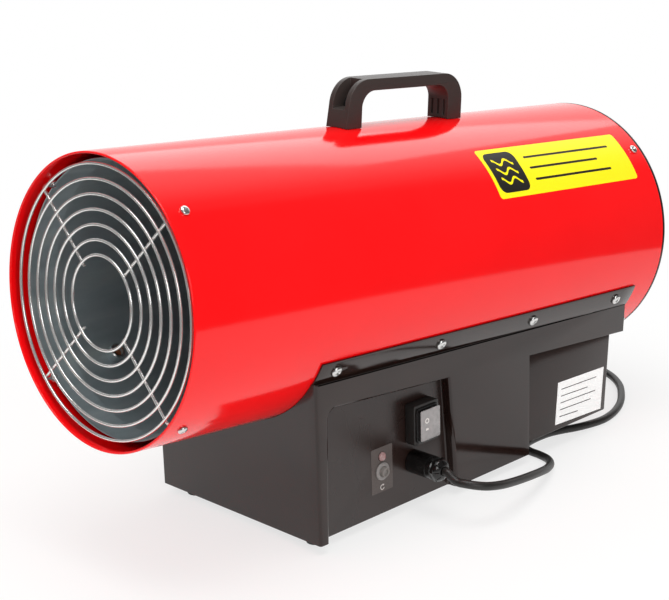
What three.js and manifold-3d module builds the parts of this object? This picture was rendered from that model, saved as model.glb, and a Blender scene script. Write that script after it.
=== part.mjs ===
// Portable forced air gas heater, in millimetres, +Z up.
// Warm air leaves at -Y, the fan draws at +Y, and the controls face +X.
//
// Two frames are used. The casing frame has its Y axis along the casing's centreline and its
// origin in the middle of the outlet rim. The floor frame shares that origin but stands level:
// the casing leans back in it, outlet up. The base, the controls and the lead are in the floor
// frame, and the casing with all that it holds is in the casing frame.

import * as THREE from 'three';
import { mergeVertices } from 'three/addons/utils/BufferGeometryUtils.js';
import Module from 'manifold-3d';

const wasm = await Module();
wasm.setup();

// ---------------------------------------------------------------- driving dimensions

const DEG = Math.PI / 180;
const gap = 0.3; // left between pieces that lie on each other
const sheet = 1.2; // painted steel sheet of the base

// Casing: a rolled tube, hemmed at both rims
const noseUp = 4.8 * DEG;
const casingRadius = 110;
const casingLength = 544.5;
const casingWall = 1;
const hemWall = 1.8;
const hemDepth = 5;
const casingSegments = 48;

// Casing screws stand on the four diagonals, near each rim
const diagonals = [45, 135, 225, 315];
const frontScrewY = 16.7;
const rearScrewY = casingLength - 10.5;
const screwShank = 1.5;
const screwHead = 3.8;
const flangeScrewHead = 4.7;
const screwHole = screwShank + 0.35;

// Wire guards: concentric rings on four spokes that hook back under the casing screws
const wire = 2.4;
const outletRings = 7;
const outletInnerRing = 35;
const outletOuterRing = casingRadius - 9;
const intakeRings = 5;
const intakeInnerRing = 42;
const intakeOuterRing = casingRadius - 13;
const lugRadius = casingRadius - 4.1; // centre of the hooked wire, between casing and drum
const lugWall = 1.6;
const lugWidth = 7;

// Combustion drum inside the casing
const drumRadius = casingRadius - 6;
const drumWall = 1;
const drumFront = 15;
const drumLength = 315;

// Burner in the middle of the drum
const burnerDepth = 62;
const burnerRadius = 40;
const burnerBarY = drumFront + drumLength - 36; // the bar that carries it
const burnerY = burnerBarY - 4 - burnerDepth; // front rim of the cup
const nozzleRadius = 7;

// Fan and motor
const fanRadius = casingRadius - 11;
const bladeCount = 6;
const shaftRadius = 4;
const shaftPlay = 0.08;
const motorRadius = 36;
const motorFront = casingLength - 114.5;
const motorLength = 72;
const fanY = motorFront - 26;

// Carrying handle on top of the casing
const handleFront = 238;
const handleLength = 137;
const handleHeight = 38.5; // above the casing
const handleWidth = 23;
const handleLeg = 17;
const handleRound = 22; // its two upper corners
const gripThickness = 9.5;

// Base: a folded steel stand under the casing
const baseHalfWidth = casingRadius - 15;
const baseFront = 124;
const baseLength = 250;
const baseDepth = 204.6; // bottom edge below the outlet's centre
const bandBottom = -83; // lower edge of the long band, in the casing frame
const bandEnd = 515.4; // along the casing, and square to it
const flangeFrom = -24.4; // the flange's arc on the casing at its front end, in degrees
const flangeTo = -34.9;
const flangeTwist = 3.8; // it climbs round the casing by this much to its rear end
const flangeScrewAngle = -29.5;
const flangeScrewY = [148.5, 264, 378, 492]; // along the casing
const footHeight = 8;
const footRadius = 10;
const footY = [140, 350];
const footX = baseHalfWidth - 23;

// Rear compartment behind and below the band
const rearBoxEnd = 497.2; // along the casing, and square to it
const rearBoxBottom = 194.5;

// Control recess in the +X wall
const recessDepth = 9;
const recessFrontY = 137;
const recessRearY = 272;
const recessFrontSpread = 3; // its sides lean apart towards the bottom edge
const recessRearSpread = 7.6;
const recessTop = -85; // in the casing frame
const recessCorner = 26;
const plateX = baseHalfWidth - recessDepth; // outer face of the control plate

// Controls, at (y, z) on the control plate
const switchAt = { y: 242.7, z: -136.6 };
const bezel = { width: 28, height: 33.7, stands: 10.5 };
const rockerSize = { width: 17.4, height: 20.8, thick: 5 };
const rockerTilt = 7 * DEG;
const bootWall = 1;
const bootStands = 15.2;
const resetAt = { y: 201.5, z: -168.5 };
const resetRadius = 4.2;
const resetStands = 2.6;
const lampAt = { y: 201.5, z: -156 };
const lampRadius = 2.8;
const glandAt = { y: 237, z: -170.5 };
const glandRadius = 9.6;
const glandReach = 34.3; // how far the gland stands out of the plate

// Mains lead
const cordDiameter = 7;
const cordSides = 8;
const coilTurns = 4; // two turns in each of two layers
const coilCentre = { x: -35, y: 560 };
const coilMeanRadius = 38.5;
const coilPitch = 7.6; // between neighbouring turns, sideways and up
const coilLift = 1.2; // the tie passes under the turns
const plugRadius = 18.5;

const floorZ = -(baseDepth + footHeight);

// ---------------------------------------------------------------- materials

function paint(colour, roughness, metalness) {
  return new THREE.MeshStandardMaterial({ color: colour, roughness, metalness });
}

const finish = {
  redPaint: paint(0xe0141c, 0.22, 0.1),
  blackPaint: paint(0x2e2622, 0.2, 0.1),
  blackPlastic: paint(0x2a2624, 0.5, 0),
  zincSteel: paint(0x7f8a8c, 0.42, 0.9),
  brightWire: paint(0xd8d8d4, 0.18, 1),
  blackWire: paint(0x1c1c1c, 0.4, 0.3),
  plainSteel: paint(0x9a9a98, 0.35, 1),
  heatSteel: paint(0x6f6a66, 0.5, 0.9),
  aluminium: paint(0xb4b6b8, 0.4, 1),
  brass: paint(0xb58e46, 0.3, 1),
  copper: paint(0xb06a48, 0.35, 1),
  ceramic: paint(0xe8e4da, 0.35, 0),
  rubber: paint(0x161616, 0.75, 0),
  clearRubber: paint(0xb9bcbc, 0.25, 0),
  lampLens: paint(0xd98c86, 0.2, 0),
  lead: paint(0x1d1c1b, 0.55, 0),
};

// ---------------------------------------------------------------- solids

function solid(geometry) {
  const bare = geometry.clone();
  bare.deleteAttribute('normal');
  bare.deleteAttribute('uv');
  const merged = mergeVertices(bare, 1e-4);
  const position = merged.attributes.position.array;
  const triangles = [];
  for (let i = 0; i < merged.index.count; i += 3) {
    const [a, b, c] = merged.index.array.slice(i, i + 3);
    if (a !== b && b !== c && c !== a) triangles.push([a, b, c]);
  }
  const corner = (i) => new THREE.Vector3().fromArray(position, 3 * i);
  const volume = triangles.reduce(
    (sum, [a, b, c]) => sum + corner(a).dot(corner(b).cross(corner(c))), 0);
  const outward = volume < 0 ? triangles.map(([a, b, c]) => [a, c, b]) : triangles;
  return new wasm.Manifold(new wasm.Mesh({
    numProp: 3,
    vertProperties: Float32Array.from(position),
    triVerts: Uint32Array.from(outward.flat()),
  }));
}

const joined = (parts) => parts.reduce((whole, part) => whole.add(part));
const without = (part, cuts) => cuts.reduce((whole, cut) => whole.subtract(cut), part);

function moved(geometry, x, y, z) {
  return geometry.translate(x, y, z);
}

function block(x0, x1, y0, y1, z0, z1) {
  const box = new THREE.BoxGeometry(x1 - x0, y1 - y0, z1 - z0);
  return solid(moved(box, (x0 + x1) / 2, (y0 + y1) / 2, (z0 + z1) / 2));
}

// A turned piece about the Y axis from [radius, y] pairs. The outline closes on itself,
// or starts and ends on the axis.
function turned(profile, segments) {
  const points = profile.map(([r, y]) => new THREE.Vector2(r, y));
  const first = points[0];
  const last = points[points.length - 1];
  if (first.x > 0 || last.x > 0) points.push(first.clone());
  return new THREE.LatheGeometry(points, segments);
}

// The same about the X axis at (y, z), with [radius, x] pairs.
function turnedAlongX(profile, segments, at) {
  return moved(turned(profile, segments).rotateZ(-Math.PI / 2), 0, at.y, at.z);
}

// A bar of round or many-sided section from one point to another.
function bar(from, to, radius, sides, radiusTo = radius) {
  const a = new THREE.Vector3(...from);
  const b = new THREE.Vector3(...to);
  const along = b.clone().sub(a);
  const geometry = new THREE.CylinderGeometry(radiusTo, radius, along.length(), sides);
  const turn = new THREE.Quaternion().setFromUnitVectors(
    new THREE.Vector3(0, 1, 0), along.normalize());
  geometry.applyQuaternion(turn);
  const middle = a.add(b).multiplyScalar(0.5);
  return solid(moved(geometry, middle.x, middle.y, middle.z));
}

function outline(points) {
  return new THREE.Shape(points.map(([u, v]) => new THREE.Vector2(u, v)));
}

const axisX = new THREE.Vector3(1, 0, 0);
const axisY = new THREE.Vector3(0, 1, 0);
const axisZ = new THREE.Vector3(0, 0, 1);

function extruded(shape, depth) {
  return new THREE.ExtrudeGeometry(shape, { depth, bevelEnabled: false, curveSegments: 8 });
}

// An outline of [y, z] points, thick from x0 to x1.
function acrossX(points, x0, x1) {
  const geometry = extruded(outline(points), x1 - x0);
  geometry.applyMatrix4(new THREE.Matrix4().makeBasis(axisY, axisZ, axisX));
  return solid(moved(geometry, x0, 0, 0));
}

// An outline of [x, z] points, thick from y0 to y1.
function alongY(points, y0, y1) {
  const geometry = extruded(outline(points), y1 - y0);
  geometry.applyMatrix4(new THREE.Matrix4().makeBasis(axisX, axisZ, axisY.clone().negate()));
  return solid(moved(geometry, 0, y1, 0));
}

// A tube of even section along a curve.
function tube(curve, radius, sides, steps) {
  const ring = [];
  for (let i = 0; i < sides; i++) {
    const angle = (2 * Math.PI * (i + 0.5)) / sides;
    ring.push([radius * Math.cos(angle), radius * Math.sin(angle)]);
  }
  return new THREE.ExtrudeGeometry(outline(ring), { steps, extrudePath: curve });
}

function smooth(points) {
  return new THREE.CatmullRomCurve3(points.map((p) => new THREE.Vector3(...p)), false, 'centripetal');
}

// Points on an arc about (u, v), angles in degrees.
function arc(u, v, radius, from, to, steps) {
  return Array.from({ length: steps + 1 }, (_, i) => {
    const angle = (from + ((to - from) * i) / steps) * DEG;
    return [u + radius * Math.cos(angle), v + radius * Math.sin(angle)];
  });
}

// Turns a piece about the Y axis, with 0 degrees at +X and 90 degrees at +Z.
const aboutY = (part, angle) => part.rotate([0, -angle, 0]);

// The casing frame seen from the floor frame and back.
const toFloor = (y, z) => ({
  y: y * Math.cos(noseUp) + z * Math.sin(noseUp),
  z: -y * Math.sin(noseUp) + z * Math.cos(noseUp),
});
// Height, in the floor frame, of a line that keeps the casing-frame height z.
const lineHeight = (z, y) => (z - y * Math.sin(noseUp)) / Math.cos(noseUp);

// Where a plane square to the casing at y lies at height z, both in the floor frame.
const squareAt = (y, z) => y / Math.cos(noseUp) + z * Math.tan(noseUp);

// A cylinder about the casing's centreline, in the floor frame.
function casingCutter(radius) {
  const geometry = new THREE.CylinderGeometry(radius, radius, 2 * casingLength, 96);
  return solid(moved(geometry, 0, casingLength / 2, 0).rotateX(-noseUp));
}

// ---------------------------------------------------------------- assembly

const heater = new THREE.Group();
const casing = new THREE.Group();
const base = new THREE.Group();
casing.rotation.x = -noseUp;
heater.add(casing, base);
const leadNodes = [];

function add(group, name, part, material, onLead = false) {
  const { vertProperties, triVerts } = part.getMesh();
  const geometry = new THREE.BufferGeometry();
  geometry.setAttribute('position', new THREE.BufferAttribute(vertProperties, 3));
  geometry.setIndex(new THREE.BufferAttribute(triVerts, 1));
  geometry.computeVertexNormals();
  const mesh = new THREE.Mesh(geometry, material);
  mesh.name = name;
  group.add(mesh);
  if (onLead) leadNodes.push(mesh);
}

// ---------------------------------------------------------------- casing screws

// A pan head screw that points at the centreline, its head on a surface of radius `seat`.
function panScrew(seat, reach, head, angle, y) {
  const profile = [
    [0, reach],
    [screwShank, reach],
    [screwShank, seat],
    [head, seat],
    [head, seat + 1],
    [0, seat + 2.4],
  ];
  return aboutY(solid(turned(profile, 8).rotateZ(-Math.PI / 2)), angle).translate([0, y, 0]);
}

function screwBore(angle, y, radius = screwHole) {
  const inner = drumRadius - 8;
  return aboutY(bar([inner, 0, 0], [casingRadius + 8, 0, 0], radius, 8), angle).translate([0, y, 0]);
}

const casingScrews = diagonals.flatMap((angle) => [
  { angle, y: frontScrewY, end: 'front' },
  { angle, y: rearScrewY, end: 'rear' },
]);
casingScrews.forEach(({ angle, y, end }) => {
  const corner = diagonals.indexOf(angle) + 1;
  const reach = drumRadius - drumWall - 1.5;
  add(casing, `${end}_screw_${corner}`, panScrew(casingRadius + gap, reach, screwHead, angle, y), finish.plainSteel);
});

const flangeInner = casingRadius + gap + 0.1;
const flangeOuter = flangeInner + sheet;
const flangeStart = baseFront / Math.cos(noseUp) + 6;
const flangeTurn = (y) => (flangeTwist * (y - flangeStart)) / (bandEnd - flangeStart);
// Height of the fold between flange and wall, in the casing frame.
const foldHeight = (y) => flangeOuter * Math.sin((flangeTo + flangeTurn(y)) * DEG) + 0.7;

const flangeScrews = flangeScrewY.flatMap((y, i) => {
  const angle = flangeScrewAngle + flangeTurn(y);
  return [
    { angle, y, name: `flange_screw_right_${i + 1}` },
    { angle: 180 - angle, y, name: `flange_screw_left_${i + 1}` },
  ];
});
flangeScrews.forEach(({ angle, y, name }) => {
  const reach = casingRadius - casingWall - 1.8;
  add(casing, name, panScrew(flangeOuter + gap, reach, flangeScrewHead, angle, y), finish.plainSteel);
});

// ---------------------------------------------------------------- casing shell

const inside = casingRadius - casingWall;
const hemInside = casingRadius - hemWall;
const handleBoltY = [handleFront + handleLeg / 2, handleFront + handleLength - handleLeg / 2];
const handleBolt = 2;

function casingShell() {
  const rim = (y, side) => [
    [casingRadius, y + side * 0.9],
    [casingRadius - 0.9, y],
    [hemInside, y + side * 0.7],
    [hemInside, y + side * hemDepth],
    [inside, y + side * (hemDepth + 0.8)],
  ];
  const profile = [...rim(0, 1), ...rim(casingLength, -1).reverse()];
  const shell = solid(turned(profile, casingSegments));
  const passage = block(-25, 25, 342, 390, -casingRadius - 5, -60); // gas pipe and wires
  const bores = [...casingScrews, ...flangeScrews].map(({ angle, y }) => screwBore(angle, y));
  const handleBores = handleBoltY.map(
    (y) => bar([0, y, inside - 8], [0, y, casingRadius + 8], handleBolt + 0.35, 10));
  return without(shell, [passage, ...bores, ...handleBores]);
}
add(casing, 'casing_shell', casingShell(), finish.redPaint);

// ---------------------------------------------------------------- wire guards

const spokeLift = 0.62; // from the rings' plane to the spokes, in wire thicknesses

// Rings lie in a plane, the spokes run across their outer side, bend round inside the rim and
// end in flat lugs under the casing screws. `side` is the way from the guard into the casing.
function wireGuard({ rings, inner, outer, ringWire, ringY, lugY, side, hub }) {
  const radius = ringWire / 2;
  const pitch = (outer - inner) / (rings - 1);
  const parts = [];
  for (let i = 0; i < rings; i++) {
    const r = inner + i * pitch;
    const section = Array.from({ length: 4 }, (_, k) => {
      const angle = (2 * Math.PI * k) / 4;
      return [r + radius * Math.cos(angle), ringY + radius * Math.sin(angle)];
    });
    parts.push(solid(turned(section, Math.round(12 + r / 9))));
  }
  const spokeY = ringY - side * ringWire * spokeLift;
  const bend = 4;
  const spokeStart = hub ? hub - 3 : inner - ringWire;
  const spokePath = smooth([
    [spokeStart, spokeY, 0],
    [(spokeStart + lugRadius - bend) / 2, spokeY, 0],
    [lugRadius - bend, spokeY, 0],
    [lugRadius - 0.3 * bend, spokeY + side * 0.3 * bend, 0],
    [lugRadius, spokeY + side * bend, 0],
    [lugRadius, lugY - side * lugWidth * 0.4, 0],
  ]);
  const spoke = solid(tube(spokePath, wire / 2, 4, 8));
  const lug = block(
    lugRadius - 0.4, lugRadius - 0.4 + lugWall,
    lugY - lugWidth / 2 - 1, lugY + lugWidth / 2, -lugWidth / 2, lugWidth / 2);
  const arm = spoke.add(lug);
  diagonals.forEach((angle) => parts.push(aboutY(arm, angle)));
  if (hub) parts.push(bar([0, spokeY - 1, 0], [0, spokeY + 1, 0], hub, 20));
  const bores = diagonals.map((angle) => screwBore(angle, lugY));
  return without(joined(parts), bores);
}

const outletRingY = 5;
add(casing, 'front_grille', wireGuard({
  rings: outletRings,
  inner: outletInnerRing,
  outer: outletOuterRing,
  ringWire: wire,
  ringY: outletRingY,
  lugY: frontScrewY,
  side: 1,
}), finish.brightWire);

// The intake guard adds a turned band that caps the casing's rear rim. The spokes sink into it.
const bandReach = 3.4;
const bandSeat = 0.6;
function rearGuard() {
  const guard = wireGuard({
    rings: intakeRings,
    inner: intakeInnerRing,
    outer: intakeOuterRing,
    ringWire: wire,
    ringY: casingLength + gap + bandSeat - wire * (spokeLift + Math.SQRT1_2 / 2),
    lugY: rearScrewY,
    side: -1,
    hub: intakeInnerRing,
  });
  const band = solid(turned([
    [casingRadius - 10, casingLength + gap],
    [casingRadius, casingLength + gap],
    [casingRadius - 1, casingLength + bandReach],
    [casingRadius - 10, casingLength + bandReach],
  ], casingSegments));
  return guard.add(band);
}
add(casing, 'rear_guard', rearGuard(), finish.blackWire);

// ---------------------------------------------------------------- combustion drum

const drumRear = drumFront + drumLength;

function combustionDrum() {
  const inner = drumRadius - drumWall;
  const shell = solid(turned([
    [drumRadius, drumFront],
    [drumRadius, drumRear],
    [inner, drumRear],
    [inner, drumFront],
  ], casingSegments));
  const spacer = block(inner + 0.2, inside - 3 * gap, drumRear - 26, drumRear - 10, -6, 6);
  const spacers = diagonals.map((angle) => aboutY(spacer, angle));
  const portAngle = 221; // sensor bush in the lower left wall
  const port = aboutY(bar([drumRadius - 9, 0, 0], [drumRadius - 0.2, 0, 0], 6.5, 14), portAngle)
    .translate([0, 75, 0]);
  const portBore = aboutY(bar([drumRadius - 12, 0, 0], [drumRadius + 3, 0, 0], 4.5, 14), portAngle)
    .translate([0, 75, 0]);
  const bores = diagonals.map((angle) => screwBore(angle, frontScrewY));
  const cooling = Array.from({ length: 8 }, (_, i) =>
    aboutY(bar([inner - 3, 0, 0], [drumRadius + 3, 0, 0], 5, 6), 45 * i + 22.5).translate([0, drumRear - 40, 0]));
  return without(joined([shell, ...spacers, port]), [portBore, ...bores, ...cooling]);
}
add(casing, 'combustion_drum', combustionDrum(), finish.zincSteel);

// ---------------------------------------------------------------- burner

const burnerBack = burnerY + burnerDepth;
const probeX = 26; // igniter and flame sensor beside the cup's centre
const probeBore = 4.4;

function burnerCup() {
  const wall = 1.5;
  const cup = solid(turned([
    [nozzleRadius + gap, burnerBack - wall],
    [burnerRadius - wall, burnerBack - wall],
    [burnerRadius - wall, burnerY + 8],
    [burnerRadius + 7, burnerY],
    [burnerRadius + 8.5, burnerY + 0.8],
    [burnerRadius, burnerY + 9.5],
    [burnerRadius, burnerBack],
    [nozzleRadius + gap, burnerBack],
  ], 24));
  const mixing = Array.from({ length: 8 }, (_, i) =>
    aboutY(bar([burnerRadius - 5, 0, 0], [burnerRadius + 5, 0, 0], 4, 6), 45 * i)
      .translate([0, burnerY + 30, 0]));
  const probes = [-1, 1].map((s) => bar(
    [s * probeX, burnerBack - 6, 0], [s * probeX, burnerBack + 6, 0], probeBore, 12));
  return without(cup, [...mixing, ...probes]);
}
add(casing, 'burner_cup', burnerCup(), finish.heatSteel);

function flameDisc() {
  const disc = solid(turned([
    [0, burnerY + 18],
    [24, burnerY + 18],
    [29, burnerY + 22],
    [29, burnerY + 23.5],
    [23.4, burnerY + 19.5],
    [0, burnerY + 19.5],
  ], 24));
  const legTurn = [60, 180, 300];
  const legs = legTurn.map((angle) => aboutY(
    block(24, burnerRadius - 2.2, burnerY + 18.4, burnerY + 20.2, -3, 3),
    angle));
  const ports = Array.from({ length: 6 }, (_, i) =>
    aboutY(bar([14, burnerY + 15, 0], [14, burnerY + 25, 0], 3, 6), 60 * i + 30));
  return without(joined([disc, ...legs]), ports);
}
add(casing, 'flame_disc', flameDisc(), finish.heatSteel);

// A flat bar across the drum, its ends turned along the drum's wall.
function burnerBar() {
  const reach = Math.sqrt((drumRadius - drumWall - gap) ** 2 - 100);
  const strip = block(-reach, reach, burnerBarY, burnerBarY + 2, -10, 10);
  const ends = [-1, 1].map((s) => block(
    s > 0 ? reach - 1.6 : -reach, s > 0 ? reach : -reach + 1.6, burnerBarY, burnerBarY + 16, -10, 10));
  const holes = [
    bar([0, burnerBarY - 3, 0], [0, burnerBarY + 5, 0], nozzleRadius + gap, 16),
    ...[-1, 1].map((s) => bar(
      [s * probeX, burnerBarY - 3, 0], [s * probeX, burnerBarY + 5, 0], probeBore, 12)),
  ];
  return without(joined([strip, ...ends]), holes);
}
add(casing, 'burner_bar', burnerBar(), finish.zincSteel);

const nozzleFront = burnerBack - 14;
const nozzleRear = burnerBarY + 22;
function gasNozzle() {
  const body = solid(turned([
    [0, nozzleFront + 3],
    [1.2, nozzleFront],
    [nozzleRadius - 2, nozzleFront],
    [nozzleRadius, nozzleFront + 5],
    [nozzleRadius, nozzleRear],
    [0, nozzleRear],
  ], 16));
  const collar = bar([0, burnerBack + gap, 0], [0, burnerBarY - gap, 0], nozzleRadius + 2.5, 16);
  const nut = bar([0, burnerBarY + 2 + gap, 0], [0, burnerBarY + 12, 0], nozzleRadius + 3.5, 6);
  return joined([body, collar, nut]);
}
add(casing, 'gas_nozzle', gasNozzle(), finish.brass);

// Ceramic sleeve with a thin rod to the flame.
function probe(side, tip, rod) {
  const sleeve = probeBore - gap;
  const geometry = turned([
    [0, tip],
    [rod, tip],
    [rod, burnerY + 36],
    [sleeve, burnerY + 36],
    [sleeve, burnerBarY - gap - 2],
    [sleeve + 1.6, burnerBarY - gap - 2],
    [sleeve + 1.6, burnerBarY - gap],
    [sleeve, burnerBarY - gap],
    [sleeve, burnerBarY + 20],
    [rod, burnerBarY + 20],
    [rod, burnerBarY + 28],
    [0, burnerBarY + 28],
  ], 10);
  return solid(moved(geometry, side * probeX, 0, 0));
}
add(casing, 'igniter', probe(1, burnerY + 24.5, 1), finish.ceramic);
add(casing, 'flame_sensor', probe(-1, burnerY + 24.5, 1.5), finish.ceramic);

// ---------------------------------------------------------------- fan and motor

const hubRadius = 17;
const hubFront = fanY - 12;
const hubRear = fanY + 12;

function fanBlade() {
  const from = hubRadius - 3;
  const blade = new THREE.BoxGeometry(fanRadius - from, 1.6, 1, 5, 1, 2);
  const position = blade.attributes.position;
  for (let i = 0; i < position.count; i++) {
    const r = position.getX(i) + (fanRadius + from) / 2;
    const share = (r - from) / (fanRadius - from);
    const chord = position.getZ(i) * THREE.MathUtils.lerp(24, 66, Math.sqrt(share));
    const camber = 0.055 * chord * chord / 20;
    const pitch = THREE.MathUtils.lerp(44, 24, share) * DEG;
    const thick = position.getY(i) - camber;
    position.setXYZ(i,
      r - 0.0016 * chord * chord * share,
      thick * Math.cos(pitch) + chord * Math.sin(pitch),
      chord * Math.cos(pitch) - thick * Math.sin(pitch));
  }
  return solid(blade).translate([0, fanY, 0]);
}

function fan() {
  const hub = solid(turned([
    [0, hubFront],
    [hubRadius - 5, hubFront],
    [hubRadius, hubFront + 4],
    [hubRadius, hubRear],
    [0, hubRear],
  ], 24));
  const blade = fanBlade();
  const blades = Array.from({ length: bladeCount }, (_, i) => aboutY(blade, (360 / bladeCount) * i));
  const bore = bar([0, hubFront + 6, 0], [0, hubRear + 2, 0], shaftRadius + shaftPlay, 24);
  return joined([hub, ...blades]).subtract(bore);
}
add(casing, 'fan', fan(), finish.aluminium);

const shaftFront = hubFront + 6.3;
const shaftRear = motorFront + 30;
add(casing, 'motor_shaft', bar([0, shaftFront, 0], [0, shaftRear, 0], shaftRadius, 24), finish.plainSteel);

const motorRear = motorFront + motorLength;
function motor() {
  const shell = solid(turned([
    [0, motorFront - 6],
    [11, motorFront - 6],
    [12, motorFront],
    [motorRadius - 6, motorFront],
    [motorRadius, motorFront + 7],
    [motorRadius, motorRear - 7],
    [motorRadius - 6, motorRear],
    [0, motorRear],
  ], 28));
  const fins = Array.from({ length: 8 }, (_, i) => aboutY(
    block(motorRadius - 2, motorRadius + 3, motorFront + 16, motorRear - 16, -1.2, 1.2), 45 * i));
  const bore = bar([0, motorFront - 9, 0], [0, shaftRear + gap, 0], shaftRadius + shaftPlay, 24);
  return joined([shell, ...fins]).subtract(bore);
}
add(casing, 'fan_motor', motor(), finish.plainSteel);

// A cross behind the motor whose arms turn back along the casing to the rear screws.
function motorBracket() {
  const wall = 1.1;
  const outer = inside - gap;
  const front = motorRear + gap;
  const plate = bar([0, front, 0], [0, front + 2, 0], 30, 32);
  const arm = block(20, outer - 0.6, front, front + 2, -9, 9)
    .add(block(outer - wall - 0.2, outer - 0.3, front, rearScrewY + 4.6, -9, 9));
  const arms = diagonals.map((angle) => aboutY(arm, angle));
  const rear = rearScrewY + 4.6;
  const round = new THREE.CylinderGeometry(outer, outer, rear - front + 2, 96);
  const bores = diagonals.map((angle) => screwBore(angle, rearScrewY));
  return without(joined([plate, ...arms]), bores)
    .intersect(solid(moved(round, 0, (front + rear) / 2, 0)));
}
add(casing, 'motor_bracket', motorBracket(), finish.zincSteel);

// ---------------------------------------------------------------- carrying handle

function carryHandle() {
  const low = casingRadius - 8;
  const top = casingRadius + handleHeight;
  const rear = handleFront + handleLength;
  const under = top - gripThickness;
  const innerFront = handleFront + handleLeg;
  const innerRear = rear - handleLeg;
  const half = handleWidth / 2;
  const lean = 1.8; // the front leg's foot stands this much further forward
  const round = handleRound;
  const side = acrossX([
    [handleFront - lean, low],
    ...arc(handleFront + lean + round, top - round, round, 176, 90, 7),
    ...arc(rear - round, top - round, round, 90, 4, 6),
    [rear, top - round - 2],
    [rear, low],
    [innerRear, low],
    ...arc(innerRear - 12.5, under - 12.5, 12.5, 6, 90, 4),
    ...arc(innerFront + 14, under - 14, 14, 90, 174, 4),
    [innerFront, low],
  ], -half, half);
  const wallThick = 3;
  const hollow = block(
    -half + wallThick, half - wallThick, innerFront + 15, innerRear - 13, under - 6, top - wallThick);
  const slotHalf = 6.7;
  const slot = acrossX([
    ...arc(handleFront + lean + round, top - round, round - 9.5, 185, 98, 6),
    ...arc(handleFront + lean + round, top - round, round + 8, 98, 185, 6),
  ], -slotHalf, slotHalf);
  const grooves = [-6.5, 0, 6.5].map((x) => block(
    x - 1.2, x + 1.2, innerRear - 1, innerRear + 2, casingRadius + 3, under - 13));
  const bores = handleBoltY.map(
    (y) => bar([0, y, low - 2], [0, y, casingRadius + 13], handleBolt + 0.35, 10));
  const saddle = new THREE.CylinderGeometry(
    casingRadius + gap, casingRadius + gap, 2 * handleLength, 120);
  const seat = solid(moved(saddle, 0, handleFront + handleLength / 2, 0));
  return without(side, [hollow, slot, ...grooves, seat, ...bores]);
}
add(casing, 'carry_handle', carryHandle(), finish.blackPlastic);

handleBoltY.forEach((y, i) => {
  const headTop = Math.sqrt((inside - gap) ** 2 - 16) - 0.1;
  const shank = bar([0, y, headTop - 1], [0, y, casingRadius + 12], handleBolt, 10);
  const head = bar([0, y, headTop - 3], [0, y, headTop], 4, 6);
  add(casing, `handle_bolt_${i + 1}`, shank.add(head), finish.plainSteel);
});

// ---------------------------------------------------------------- base shell

const baseRear = baseFront + baseLength;
const innerX = baseHalfWidth - sheet;

// Outline of the control recess in [y, z], open at the base's lower edge.
function recessOutline(grow) {
  const top = recessTop + grow;
  const bottom = -baseDepth - (grow ? 0 : 2);
  const radius = recessCorner + grow;
  const corner = recessFrontY - grow + radius;
  const height = lineHeight(top, corner);
  const rear = recessRearY + grow;
  const rearHeight = lineHeight(top, rear);
  // How far a side that leaves height z has spread at the bottom.
  const spread = (full, z) => (full * (z - bottom)) / (z + baseDepth);
  return [
    [recessFrontY - grow - spread(recessFrontSpread, height - radius), bottom],
    ...arc(corner, height - radius, radius, 180, 96, 6),
    [corner + 4, lineHeight(top, corner + 4)],
    [rear, rearHeight],
    [rear + spread(recessRearSpread, rearHeight), bottom],
  ];
}

// Height of the wall's upper fold in the floor frame.
const wallTop = (y) => lineHeight(foldHeight(y / Math.cos(noseUp)), y);

function baseWall(x0, x1) {
  const bandLow = toFloor(bandEnd, bandBottom);
  const bandHigh = toFloor(bandEnd, foldHeight(bandEnd));
  return acrossX([
    [baseFront, -baseDepth],
    [baseRear, -baseDepth],
    [baseRear, lineHeight(bandBottom, baseRear)],
    [bandLow.y, bandLow.z],
    [bandHigh.y, bandHigh.z],
    [baseFront, wallTop(baseFront)],
  ], x0, x1);
}

// The flange that lies round the casing on the +X side, with the ledge that joins it to the wall.
function baseFlange() {
  const length = bandEnd - flangeStart;
  const section = outline([
    ...arc(0, 0, flangeOuter, flangeFrom, flangeTo, 4),
    ...arc(0, 0, flangeInner, flangeTo, flangeFrom, 4),
  ]);
  const geometry = new THREE.ExtrudeGeometry(section, { depth: length, steps: 6, bevelEnabled: false });
  const position = geometry.attributes.position;
  for (let i = 0; i < position.count; i++) {
    const along = position.getZ(i);
    const turn = flangeTurn(flangeStart + along) * DEG;
    const x = position.getX(i) * Math.cos(turn) - position.getY(i) * Math.sin(turn);
    const z = position.getX(i) * Math.sin(turn) + position.getY(i) * Math.cos(turn);
    position.setXYZ(i, x, flangeStart + along, z);
  }
  const strip = solid(geometry);
  const ledgeIn = flangeOuter * Math.cos(flangeTo * DEG) - 0.7;
  const ledge = acrossX([
    [flangeStart, foldHeight(flangeStart) - 1.4],
    [bandEnd, foldHeight(bandEnd) - 1.4],
    [bandEnd, foldHeight(bandEnd) - 0.2],
    [flangeStart, foldHeight(flangeStart) - 0.2],
  ], ledgeIn, baseHalfWidth)
    .subtract(bar([0, flangeStart - 1, 0], [0, bandEnd + 1, 0], flangeInner, 96));
  const bores = flangeScrews.map(({ angle, y }) => screwBore(angle, y));
  return without(joined([strip, ledge]), bores).rotate([-noseUp / DEG, 0, 0]);
}

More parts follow.
